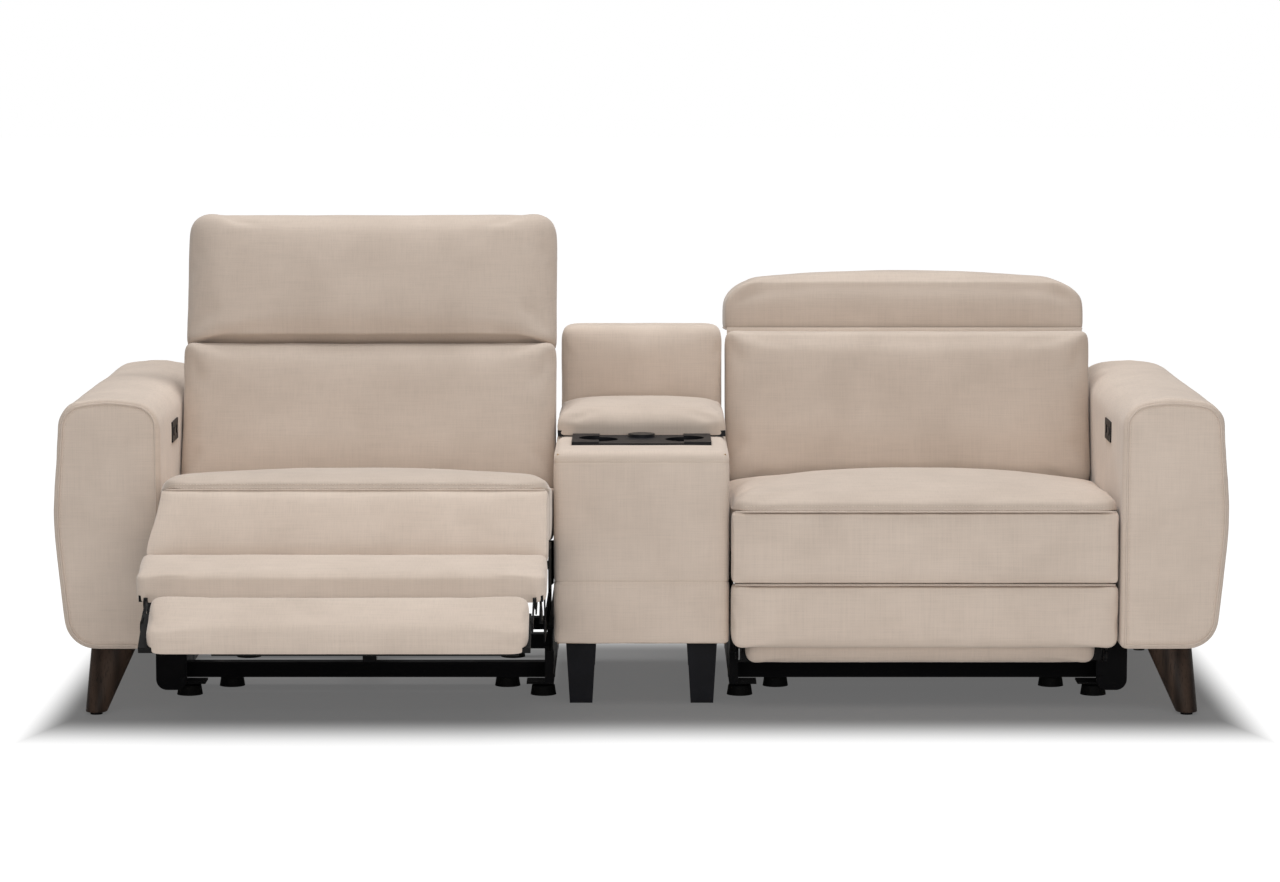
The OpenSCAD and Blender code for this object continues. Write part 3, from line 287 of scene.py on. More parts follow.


# The velvet comes in copies of one colour at different brightness, set to the light each part stands in. The
# backs and headrests, the seats and the console lid take a darker copy, which is painted shade where they
# sit deep in the sofa or catch less light. The open seat's tilted front border takes a lighter copy, which
# is painted light for its face turned up to the lamps. The arms, console and other panels keep about the
# plain tone.
FABRIC = make_fabric("velvet_linen", 1.03)
FABRIC_SHADED_BACKS = make_fabric("velvet_painted_shade_backs", 0.93)
FABRIC_SHADED_SEATS = make_fabric("velvet_painted_shade_seats", 0.93)
FABRIC_PANELS = make_fabric("velvet_panels", 1.02)
FABRIC_LIT_BORDER = make_fabric("velvet_painted_light_border", 1.085)
WELT = make_fabric("velvet_welt", 0.98)
THREAD = make_thread("thread")
STEEL = make_steel("black_powder_coat", (0.0042, 0.0042, 0.0050), 0.48)
PLASTIC = make_plastic("black_plastic", (0.013, 0.013, 0.015), 0.42, 1100.0)
SATIN = make_plastic("black_satin_legs", (0.0120, 0.0125, 0.0155), 0.45, 700.0)
RUBBER = make_plastic("black_rubber", (0.006, 0.006, 0.006), 0.7, 500.0)
GLOSS = make_plastic("gloss_black", (0.010, 0.010, 0.012), 0.30, 300.0, 0.12)
WALNUT = make_wood("walnut", srgb(38, 29, 24), srgb(66, 52, 43), 11.0, 0.5, (1, 1, 0.06), "X")
PLY = make_wood("plywood", srgb(160, 128, 92), srgb(206, 176, 136), 18.0, 0.62, (0.06, 1, 1), "Y")
BOARD = make_plastic("black_board", (0.010, 0.010, 0.010), 0.62, 260.0)
LINING = make_plastic("black_lining", (0.012, 0.012, 0.012), 0.85, 1600.0)


# Meshes
def link(obj):
    scene.collection.objects.link(obj)
    return obj


def smooth(me):
    me.polygons.foreach_set("use_smooth", [True] * len(me.polygons))


def mesh_object(name, verts, faces, mat, matrix=None):
    me = bpy.data.meshes.new(name)
    if matrix is not None:
        verts = [matrix @ Vector(v) for v in verts]
        if matrix.determinant() < 0:
            faces = [tuple(reversed(f)) for f in faces]
    me.from_pydata([tuple(v) for v in verts], [], faces)
    me.materials.append(mat)
    me.update()
    smooth(me)
    return link(bpy.data.objects.new(name, me))


def fix_normals(obj):
    bm = bmesh.new()
    bm.from_mesh(obj.data)
    bmesh.ops.remove_doubles(bm, verts=bm.verts, dist=1e-6)
    bmesh.ops.recalc_face_normals(bm, faces=bm.faces)
    bm.to_mesh(obj.data)
    bm.free()


def apply_modifiers(obj):
    dg = bpy.context.evaluated_depsgraph_get()
    me = bpy.data.meshes.new_from_object(obj.evaluated_get(dg), depsgraph=dg)
    old = obj.data
    obj.modifiers.clear()
    obj.data = me
    bpy.data.meshes.remove(old)


def ring_faces(rows, sides, start=0):
    """Faces of a sleeve over rings of points, with both ends capped."""
    faces = []
    for i in range(rows - 1):
        for k in range(sides):
            a, b = start + i * sides + k, start + i * sides + (k + 1) % sides
            faces.append((a, b, b + sides, a + sides))
    end = start + (rows - 1) * sides
    faces.append(tuple(start + k for k in reversed(range(sides))))
    faces.append(tuple(end + k for k in range(sides)))
    return faces


def tube(name, points, r, closed=False):
    """A round piping tube along a path, with parallel transported frames."""
    pts = [Vector(p) for p in points]
    n, sides = len(pts), 8
    verts = []
    up = None
    for i in range(n):
        if closed:
            d = pts[(i + 1) % n] - pts[i - 1]
        else:
            d = pts[min(i + 1, n - 1)] - pts[max(i - 1, 0)]
        d.normalize()
        if up is None:
            up = d.orthogonal().normalized()
        up = (up - d * up.dot(d)).normalized()
        right = d.cross(up)
        for k in range(sides):
            a = 2 * math.pi * k / sides
            verts.append(pts[i] + up * math.cos(a) * r + right * math.sin(a) * r)
    faces = ring_faces(n, sides)
    if closed:
        # the last ring is matched to the first by the nearest corner, and both caps go
        end = (n - 1) * sides
        shift = min(range(sides), key=lambda k: (verts[k] - verts[end]).length)
        faces[-2:] = [(end + k, end + (k + 1) % sides, (k + 1 + shift) % sides, (k + shift) % sides)
                      for k in range(sides)]
    return mesh_object(name, verts, faces, WELT)


def round_box(name, lo, hi, r, mat, matrix):
    """A box with its edges cut by r, made in mesh code."""
    bm = bmesh.new()
    bmesh.ops.create_cube(bm, size=1)
    lo, hi = Vector(lo), Vector(hi)
    mid, size = (lo + hi) / 2, hi - lo
    for v in bm.verts:
        v.co = Vector((mid[k] + v.co[k] * size[k] for k in range(3)))
    bmesh.ops.bevel(bm, geom=bm.edges[:], offset=r, segments=1, profile=0.5, affect="EDGES")
    bm.transform(matrix)
    if matrix.determinant() < 0:
        bmesh.ops.reverse_faces(bm, faces=bm.faces)
    me = bpy.data.meshes.new(name)
    bm.to_mesh(me)
    bm.free()
    me.materials.append(mat)
    smooth(me)
    me.set_sharp_from_angle(angle=math.radians(50))
    return link(bpy.data.objects.new(name, me))


def mirrored(x0, x1, lo, hi):
    """(low corner, high corner) of a box on either side of the middle. lo and hi are (y, z)."""
    return [((min(s * x0, s * x1), *lo), (max(s * x0, s * x1), *hi)) for s in (-1, 1)]


# Soft forms
def plan_point(u, v, x0, x1, y0, y1, rad, pull=0.0):
    """Maps a square to a rounded rectangle whose sides are drawn in between the corners."""
    cx, cy, hx, hy = (x0 + x1) / 2, (y0 + y1) / 2, (x1 - x0) / 2, (y1 - y0) / 2
    x, y = u * hx, v * hy
    if isinstance(rad, tuple):
        rad = rad[0] if v < 0 else rad[1]
    rad = max(0.01, min(rad, hx * 0.98, hy * 0.98))
    ix = max(-(hx - rad), min(hx - rad, x))
    iy = max(-(hy - rad), min(hy - rad, y))
    dx, dy = x - ix, y - iy
    l = math.hypot(dx, dy)
    if l > 1e-9:
        k = max(abs(dx), abs(dy)) / l
        x, y = ix + dx * k, iy + dy * k
    if pull:
        x -= math.copysign(1, u) * abs(u) ** 3 * pull * (1 - v * v)
        y -= math.copysign(1, v) * abs(v) ** 3 * pull * (1 - u * u)
    return cx + x, cy + y


class Soft:
    """A lattice skin: rows of levels up the sides, a grid on the top and on the bottom.

    A level is (height, x0, x1, y0, y1, corner radius) with a pull on its sides if one is given.
    """

    def __init__(self, name, levels, us, vs, top):
        self.name = name
        nu, nv = len(us), len(vs)
        key = {}
        verts = []

        def add(k, p):
            key[k] = len(verts)
            verts.append(Vector(p))

        border = [(i, 0) for i in range(nu)] + [(nu - 1, j) for j in range(1, nv)]
        border += [(i, nv - 1) for i in range(nu - 2, -1, -1)] + [(0, j) for j in range(nv - 2, 0, -1)]
        self.border = border
        for l, lev in enumerate(levels):
            for (i, j) in border:
                x, y = plan_point(us[i], vs[j], *lev[1:])
                add((l, i, j), (x, y, lev[0]))
        last = len(levels) - 1
        for tag, lev in (("b", levels[0]), ("t", levels[last])):
            for i in range(1, nu - 1):
                for j in range(1, nv - 1):
                    x, y = plan_point(us[i], vs[j], *lev[1:])
                    add((tag, i, j), (x, y, top(us[i], vs[j]) if tag == "t" else lev[0]))

        def get(tag, i, j):
            l = 0 if tag == "b" else last
            return key.get((tag, i, j), key.get((l, i, j)))

        faces = []
        for i in range(nu - 1):
            for j in range(nv - 1):
                square = ((i, j), (i + 1, j), (i + 1, j + 1), (i, j + 1))
                faces.append(tuple(get("t", *c) for c in square))
                faces.append(tuple(get("b", *square[k]) for k in (0, 3, 2, 1)))
        n = len(border)
        for l in range(last):
            for k in range(n):
                a, b = border[k], border[(k + 1) % n]
                faces.append((key[(l, *a)], key[(l, *b)], key[(l + 1, *b)], key[(l + 1, *a)]))
        self.verts, self.faces, self.key = verts, faces, key
        self.bottom = [key[k] for k in key if k[0] == "b"] + [key[(0, *b)] for b in border]

    def loop(self, level):
        return [self.key[(level, *b)] for b in self.border]

    def build(self, mat, matrix):
        return mesh_object(self.name, self.verts, self.faces, mat, matrix)


def span(n):
    """n + 1 values from -1 to 1, closer together near both ends."""
    ends = 0.12
    out = []
    for k in range(n + 1):
        t = k / n
        s = 0.5 - 0.5 * math.cos(math.pi * t)
        out.append(-1 + 2 * (t * (1 - ends) + s * ends))
    return out


def quarter(n):
    """(rise, turn in) along a quarter of a unit circle, in n steps."""
    angles = [math.pi / 2 * k / n for k in range(n + 1)]
    return [(math.sin(a), 1 - math.cos(a)) for a in angles]


def smooth01(t):
    t = max(0.0, min(1.0, t))
    return t * t * (3 - 2 * t)


def wrinkle(obj, matrix_inv, fn):
    """Moves each vertex along its normal by fn(local point in mm) millimetres."""
    me = obj.data
    n = [v.normal.copy() for v in me.vertices]
    for v, nn in zip(me.vertices, n):
        v.co += nn * fn(matrix_inv @ v.co) * MM
    me.update()


def cloth_puff(obj, pins, cap, pressure):
    """Inflates a cushion with Blender's cloth, held at its seams and base. No point moves over cap mm."""
    frames, stiff = 20, 18.0
    rest = [v.co.copy() for v in obj.data.vertices]
    vg = obj.vertex_groups.new(name="pin")
    for idx, w in pins:
        vg.add(idx, w, "REPLACE")
    md = obj.modifiers.new("puff", "CLOTH")
    s = md.settings
    s.quality = 4
    s.mass = 0.25
    s.tension_stiffness = stiff
    s.compression_stiffness = stiff
    s.shear_stiffness = stiff * 0.5
    s.bending_stiffness = 1.2
    s.use_pressure = True
    s.uniform_pressure_force = pressure
    s.vertex_group_mass = "pin"
    s.pin_stiffness = 1.0
    s.effector_weights.gravity = 0.0
    md.collision_settings.use_collision = False
    md.collision_settings.use_self_collision = False
    md.point_cache.frame_start = 1
    md.point_cache.frame_end = frames
    for f in range(1, frames + 1):
        scene.frame_set(f)
    apply_modifiers(obj)
    obj.vertex_groups.clear()
    limit = cap * MM
    for v, r in zip(obj.data.vertices, rest):
        d = v.co - r
        if d.length > limit:
            d = d.normalized() * limit
        v.co = r + d
    scene.frame_set(1)


def smooth_sub(obj):
    md = obj.modifiers.new("sub", "SUBSURF")
    md.levels = 1
    md.render_levels = 1
    apply_modifiers(obj)
    smooth(obj.data)


def surface_tree(obj):
    me = obj.data
    return BVHTree.FromPolygons([v.co.copy() for v in me.vertices], [tuple(p.vertices) for p in me.polygons])


def trim(obj, body):
    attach(obj, body)


def finish_soft(obj, body, nodes):
    trim(obj, body)
    if nodes:
        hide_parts(*nodes)


def welt_on(name, body, obj, points, r):
    """A closed piping tube of r mm radius, sunk a little in a finished surface along world points."""
    tree = surface_tree(obj)
    out = []
    for p in points:
        loc, nrm = tree.find_nearest(p)[:2]
        out.append(loc + nrm * r * MM * 0.65)
    trim(tube(name, out, r * MM, True), body)


def stitches_on(name, body, obj, points, pitch=5.5, length=3.5, r=0.5, lift=0.25, closed=False):
    """A row of short stitches lying on a finished surface along world points (metres)."""
    tree = surface_tree(obj)
    pts = [Vector(p) for p in points]
    if closed:
        pts.append(pts[0])
    seg = [0.0]
    for a, b in zip(pts, pts[1:]):
        seg.append(seg[-1] + (b - a).length)
    total = seg[-1] * 1000
    verts, faces = [], []
    k = 0
    n = int(total / pitch)

    def at(d):
        nonlocal k
        d = min(max(d, 0), total) / 1000
        while k < len(seg) - 2 and seg[k + 1] < d:
            k += 1
        while k > 0 and seg[k] > d:
            k -= 1
        t = (d - seg[k]) / max(1e-9, seg[k + 1] - seg[k])
        return pts[k].lerp(pts[k + 1], min(1, max(0, t)))
    for i in range(n):
        c = pitch * (i + 0.5)
        a, b = at(c - length / 2), at(c + length / 2)
        m = (a + b) / 2
        hit = tree.find_nearest(m)
        nrm = hit[1]
        if (hit[0] - m).length > 0.02:
            continue
        d = (b - a).normalized()
        d = (d - nrm * d.dot(nrm)).normalized()
        side = d.cross(nrm)
        base = hit[0] + nrm * lift * MM
        rr = r * MM
        half = length * MM / 2
        faces += ring_faces(4, 5, len(verts))
        for t, s in ((-1.0, 0.35), (-0.62, 1.0), (0.62, 1.0), (1.0, 0.35)):
            drop = nrm * (-rr * 0.9 if abs(t) > 0.9 else 0)
            for q in range(5):
                ang = math.pi * 2 * q / 5
                spoke = nrm * math.cos(ang) + side * math.sin(ang)
                verts.append(base + d * half * t + drop + spoke * rr * s)
    if verts:
        trim(mesh_object(name, verts, faces, THREAD), body)


def fbm(p, s, seed):
    """Smooth noise with waves about s mm long."""
    q = Vector((p[0] / s + seed, p[1] / s - seed * 0.7, p[2] / s + seed * 1.3))
    return noise.fractal(q, 0.8, 2.0, 3)


# Upholstery
def clamp_local(obj, inv, lo, hi):
    """Keeps a puffed cushion inside a local box, so that it stays clear of its neighbours."""
    fwd = inv.inverted()
    for v in obj.data.vertices:
        p = inv @ v.co
        q = Vector((min(max(p[k], lo[k]), hi[k]) for k in range(3)))
        if (q - p).length > 1e-9:
            v.co = fwd @ q
    obj.data.update()


def loop_points(obj, idx):
    return [obj.data.vertices[i].co.copy() for i in idx]


def dense(points, step):
    """Points at even steps along a closed path."""
    pts = list(points) + [points[0]]
    out = [pts[0]]
    left = step
    for a, b in zip(pts, pts[1:]):
        d = (b - a).length
        t = left
        while t < d:
            out.append(a.lerp(b, t / d))
            t += step
        left = t - d
    if (out[-1] - out[0]).length < step * 0.5:
        out.pop()
    return out


def smooth_path(points, rounds):
    """Evens out a closed path."""
    pts = [p.copy() for p in points]
    n = len(pts)
    for _ in range(rounds):
        pts = [(pts[i - 1] + pts[i] * 2 + pts[(i + 1) % n]) / 4 for i in range(n)]
    return pts


def make_cushion(name, levels, us, vs, top, matrix, body, node_name, pins, welts, cap, lo, hi,
                 wrinkles, pressure, extra=None, shape=None, mat=FABRIC):
    """A cushion's skin over a CAD node. pins and welts give a weight and a radius by row of levels."""
    s = Soft(name, levels, us, vs, top)
    if shape:
        s.verts = [Vector(shape(v)) for v in s.verts]
    o = s.build(mat, matrix)
    inv = matrix.inverted()
    cloth_puff(o, [(s.bottom, 1.0)] + [(s.loop(l), w) for l, w in pins.items()], cap, pressure)
    wrinkle(o, inv, wrinkles)
    clamp_local(o, inv, lo, hi)
    paths = {l: smooth_path(loop_points(o, s.loop(l)), 1) for l in welts}
    smooth_sub(o)
    finish_soft(o, body, [node_name])
    for l, r in welts.items():
        welt_on(f"{name}_welt{l}", body, o, dense(paths[l], 0.008), r)
    if extra:
        extra(o)


def slant(side, p):
    """The open seat's outer front corner draws in towards its top."""
    if side > 0 or p[0] < 230:
        return 0.0
    f = smooth01((p[2] - 262.0) / 145.0)
    g = smooth01((p[0] - 230.0) / 150.0)
    return -21.0 * f * g * (1 - smooth01((p[1] - 40.0) / 200.0))


def seat(side):
    n, m = NAME[side], chain(side, "seat")
    crown, squash = (16.0, 0.50) if side < 0 else (23.5, 0.61)
    rows = [(302.0, 7, 54), (307.0, 3, 50), (316.0, 0, 47.5), (340.0, 0, 47), (370.0, 0, 47), (394.0, 0, 47),
            (401.2, 0, 46.5), (402.1, 0.6, 22), (402.4, 0.4, 10.8), (404.0, 0.1, 8.9), (410.0, 0, 8.2),
            (418.0, 0, 8.0), (425.0, 1.5, 9.8), (431.0, 5.0, 14.0), (436.0, 11.0, 21.0), (439.5, 19.0, 31.0),
            (441.5, 29.0, 44.0)]
    rows = [(z if z < 410 else 410 + (z - 410) * squash, i, y) for z, i, y in rows]
    levels = [(z, -SKIN_HALF + i * 0.6, SKIN_HALF - i * 0.6, y, 516.0 - i, 42.0 - i * 0.5)
              for z, i, y in rows]
    rim = rows[-1][0]

    def top(u, v):
        return rim + crown * (1 - abs(u) ** 2.2) * (1 - abs(v) ** 2.2)

    def shape(p):
        # the top falls away towards the back and most of all at its corners
        k = max(0.0, min(1.0, (p[2] - 404.0) / (rim - 404.0)))
        drop = (9.0 + 19.0 * abs(p[0] / SKIN_HALF) ** 3) * smooth01((p[1] - 110.0) / 390.0)
        return p[0] + slant(side, p), p[1], p[2] - k * drop

    def creases(p):
        a = fbm(p, 105.0, side * 3.1) * 0.8 + fbm(p, 38.0, 5.0 + side) * 0.25
        near = math.exp(-max(0.0, p[1] - 12) / 30.0) * (1 if p[2] > 404 else 0)
        return a + math.sin(p[0] / 21.0 + 2.3 * fbm(p, 120.0, 2.0)) * near * 0.3

    def seams(o):
        strip = [m @ Vector((x, 10.4, 401.9)) for x in range(-372, 353 if side < 0 else 373, 12)]
        trim(tube(f"{n}_seat_seam", strip, 0.0016), f"{n}_seat")
        for k, z in enumerate((406.2, 413.0)):
            row = [m @ Vector((x, 8.0, z)) for x in range(-356, 357, 8)]
            stitches_on(f"{n}_seat_front_stitch{k}", f"{n}_seat", o, row, 6.0, 3.9, 0.62, 0.3)

    make_cushion(f"{n}_seat_soft", levels, span(44), span(28), top, m, f"{n}_seat", f"{n}_seat_cushion",
                 {7: 1.0, 6: 1.0, 8: 0.9, 16: 0.2}, {}, 6.0, (-379.9, 6.8, 301.2), (379.9, 517.5, 470.0),
                 creases, 2.0, seams, shape, FABRIC_SHADED_SEATS)


def stand(side, part, d):
    return chain(side, part) @ Matrix.Translation((0, d, 0)) @ STAND


def pad_rows(t, low, edge, mids=(0.45, 0.72)):
    """(height, inset) rows of a pad: a tight lower edge, straight sides and a soft upper edge."""
    rows = [(0.0, low), (low * 0.35, low * 0.35), (low, 0.0)]
    rows += [(low + (t - edge - low) * f, 0.0) for f in mids]
    return rows + [(t - edge + edge * rise, edge * turned) for rise, turned in quarter(4)]


def outside_cloth(body, m, d, half, z0, z1, corner, pull, rows, nu, nv, puff, seed=None):
    """Padded cloth over the outer face of a board, d behind m. Returns the points along its edge."""
    m = m @ Matrix.Translation((0, d, 0)) @ OUTWARD
    levels = [(z, -half + i, half - i, z0 + i, z1 - i, corner, pull) for z, i in rows]
    rim = rows[-1][0]
    s = Soft(f"{body}_outside", levels, span(nu), span(nv),
             lambda u, v: rim + puff * (1 - u ** 4) * (1 - v ** 4))
    o = s.build(FABRIC, m)
    fix_normals(o)
    if seed is not None:
        wrinkle(o, m.inverted(), lambda p: fbm(p, 120.0, seed) * 0.8)
    row = loop_points(o, s.loop(2))
    smooth_sub(o)
    finish_soft(o, body, [])
    return row


def back(side):
    n, m = NAME[side], stand(side, "back", 35.2)
    levels = [(z, -BACK_HALF + i * 0.9, BACK_HALF - i * 0.9, 40.5 + i, 373.8 - i * 0.45, (30.0, 11.0))
              for z, i in pad_rows(109.0, 9.0, 24.0)]

    def top(u, v):
        lumbar = 4.0 * math.exp(-((v + 0.45) / 0.35) ** 2)
        return 109.0 + (11.0 + lumbar) * (1 - abs(u) ** 3.4) * (1 - abs(v) ** 3.0)

    def creases(p):
        a = fbm(p, 130.0, side * 1.7 + 9) * 0.9 + fbm(p, 45.0, 3.0) * 0.25
        near = math.exp(-(BACK_HALF - abs(p[0])) / 24.0)
        side_pull = near * math.sin(p[1] / 17.0 + 1.5 * fbm(p, 90, 1)) * 0.35
        return a + (side_pull if p[2] > 50 else 0)

    make_cushion(f"{n}_back_soft", levels, span(40), span(20), top, m, f"{n}_back", f"{n}_back_cushion",
                 {4: 0.7, 5: 0.5}, {1: 1.7}, 7.0, (-380.8, 39.6, 0.0), (380.8, 374.2, 132.0),
                 creases, 3.0, mat=FABRIC_SHADED_BACKS)
    # strip of cloth that closes the slit under the folded headrest
    o = round_box(f"{n}_headrest_gusset", (-375, 362, 1.0), (375, 393.5, 3.0), 0.8, FABRIC_SHADED_BACKS, m)
    trim(o, f"{n}_back")
    row = outside_cloth(f"{n}_back", chain(side, "back"), 51.9, SEAT_HALF - 29.0, 6, 364, 20.0, 1.0,
                        ((0.2, 1.0), (2.0, 0.0), (4.0, 0.8), (5.0, 3.0)), 30, 16, 2.5, 4.0 + side)
    trim(tube(f"{n}_back_outside_welt", smooth_path(dense(row, 0.01), 2), 0.0022, True), f"{n}_back")


def headrest(side):
    n, m = NAME[side], stand(side, "headrest", 35.2)
    levels = [(z, -BACK_HALF + i, BACK_HALF - i, 375.0 + i, 657.5 - i, (9.0, 40.0))
              for z, i in ((0.0, 6.0), (3.0, 2.0), (8.0, 0.0), (30.0, 0.0))]
    for rise, f in quarter(7):
        levels.append((50.0 + 55.0 * rise, -BACK_HALF + 62.0 * f, BACK_HALF - 62.0 * f, 375.0 + 8.0 * f,
                       657.5 - 30.0 * f, (9.0, 40.0 - 12.0 * f)))

    def top(u, v):
        return 105.0 + 15.0 * (1 - abs(u) ** 2.0) * (1 - abs(v) ** 3.2)

    def creases(p):
        a = fbm(p, 120.0, side * 2.9 + 4) * 0.9 + fbm(p, 42.0, 8.0) * 0.3
        edge = math.exp(-min(p[1] - 375, 657 - p[1]) / 26.0)
        return a + edge * math.sin(p[0] / 26.0 + 2 * fbm(p, 100, 6)) * 0.35 * (1 if p[2] > 50 else 0)

    make_cushion(f"{n}_headrest_soft", levels, span(40), span(18), top, m, f"{n}_headrest",
                 f"{n}_headrest_cushion", {3: 0.7, 4: 0.5}, {1: 1.7}, 7.0,
                 (-380.8, 374.7, 0.0), (380.8, 659.0, 130.0), creases, 3.0, mat=FABRIC_SHADED_BACKS)
    outside_cloth(f"{n}_headrest", chain(side, "headrest"), 45.6, SEAT_HALF - 50.0, 386, 640, 24.0, 1.0,
                  ((-9.0, 0.5), (0.2, 0.0), (3.5, 0.8), (5.0, 3.5)), 30, 12, 3.0, 4.5 + side)


def panel(side, part, pad, x0, x1, z0, z1, d, t, crown, edge, corner, seed, nu, nv, behind=0.0, upper=1.0):
    """A padded panel. With behind, its cloth also wraps the board that the pad is glued to."""
    n, m = NAME[side], stand(side, part, d)
    border = pad == "front_border"
    # the open seat's border takes the lighter copy, painted light for its tilt up towards the lamps
    mat = FABRIC_LIT_BORDER if side < 0 and border else FABRIC_PANELS
    rows = pad_rows(t, 6.0 if behind else 4.0, edge, (0.5,))
    if behind:
        wrap = [(-behind, 3.0), (-behind + 1.0, 1.0), (-behind + 3.0, 0.0), (0.0, 0.0), (8.0, 0.0)]
        rows = wrap + rows[3:]
    levels = [(z, x0 + i, x1 - i, z0 + i, z1 - i * upper, corner) for z, i in rows]

    def top(u, v):
        return t + crown * (1 - abs(u) ** 5) * (1 - abs(v) ** 2.4)

    def creases(p):
        return (fbm(p, 95.0, seed) * 0.7 + fbm(p, 30.0, seed + 2) * 0.2) * (1 if p[2] > 8 else 0.1)

    def shape(p):
        return p[0] + slant(side, (p[0], 0.0, p[1])), p[1], p[2]

    make_cushion(f"{n}_{pad}_soft", levels, span(nu), span(nv), top, m, f"{n}_{part}", f"{n}_{pad}",
                 {3: 0.9}, {}, 4.0, (x0 - 0.3, z0, -behind), (x1 + 0.3, z1, t + crown + 4), creases,
                 2.5, None, shape if border else None, mat)
    if border:
        strip = [m @ Vector((x, z0 - 0.1, t - 0.4)) for x in range(-372, 373, 12)]
        trim(tube(f"{n}_border_seam", strip, 0.0015), f"{n}_{part}")


def side_cloths(side):
    """Black cloths that close the seat's sides from its deck down to the links."""
    for sx, (lo, hi) in zip((-1, 1), mirrored(377.2, 378.0, (64, 214), (545, 301))):
        o = round_box(f"{NAME[side]}_side_cloth{sx}", lo, hi, 0.3, LINING, chain(side, "seat"))
        trim(o, f"{NAME[side]}_seat")


for side in (-1, 1):
    seat(side)
    side_cloths(side)
    back(side)
    headrest(side)
    panel(side, "border", "front_border", -SKIN_HALF, SKIN_HALF, 257.6, 401.4, 44.0, 32.5, 4.0, 2.2, 5.0,
          side + 2.0, 40, 10)
    panel(side, "footrest", "footrest_pad", -SKIN_HALF, SKIN_HALF, 129.3, 256.9, 47.8, 36.0, 4.0, 8.0,
          (22.0, 7.0), side + 4.0, 40, 9, 13.6, 0.4)
    panel(side, "flipper", "flipper_pad", -350.3, 340.5, 90.3, 217.0, 99.6, 28.5, 5.0, 12.0, (22.0, 18.0),
          side + 6.0, 36, 8, 13.6)


# Arms
def fillet(p0, p1, p2, r, n):
    p0, p1, p2 = Vector(p0), Vector(p1), Vector(p2)
    u, v = (p0 - p1).normalized(), (p2 - p1).normalized()
    h = math.acos(max(-1, min(1, u.dot(v)))) / 2
    c = p1 + (u + v).normalized() * r / math.sin(h)
    a, b = p1 + u * r / math.tan(h) - c, p1 + v * r / math.tan(h) - c
    a0 = math.atan2(a[1], a[0])
    sweep = (math.atan2(b[1], b[0]) - a0 + math.pi * 3) % (2 * math.pi) - math.pi
    angles = [a0 + sweep * i / n for i in range(n + 1)]
    return [c + r * Vector((math.cos(a), math.sin(a))) for a in angles]


ARM_BOTTOM, ARM_TOP, ARM_W, ARM_DEPTH = 131.0, 632.0, 205.0, 850.0
CORNERS = [((ARM_INNER, ARM_BOTTOM), 6, 3), ((ARM_INNER + ARM_W - 18, ARM_BOTTOM), 62, 12),
           ((ARM_INNER + ARM_W + 7, (ARM_BOTTOM + ARM_TOP) / 2), 600, 6),
           ((ARM_INNER + ARM_W - 8, ARM_TOP - 22), 52, 12), ((ARM_INNER + ARM_W / 2, ARM_TOP), 280, 6),
           ((ARM_INNER, ARM_TOP - 22), 52, 12)]


def arm_outline():
    pts = []
    for i, (corner, radius, steps) in enumerate(CORNERS):
        pts += fillet(CORNERS[i - 1][0], corner, CORNERS[(i + 1) % len(CORNERS)][0], radius, steps)
    out = [pts[0]]
    for p in pts[1:]:
        if (p - out[-1]).length > 0.5:
            out.append(p)
    loop = dense([Vector((p[0], p[1], 0)) for p in out], 12.0)
    return [Vector((p[0], p[1])) for p in loop]


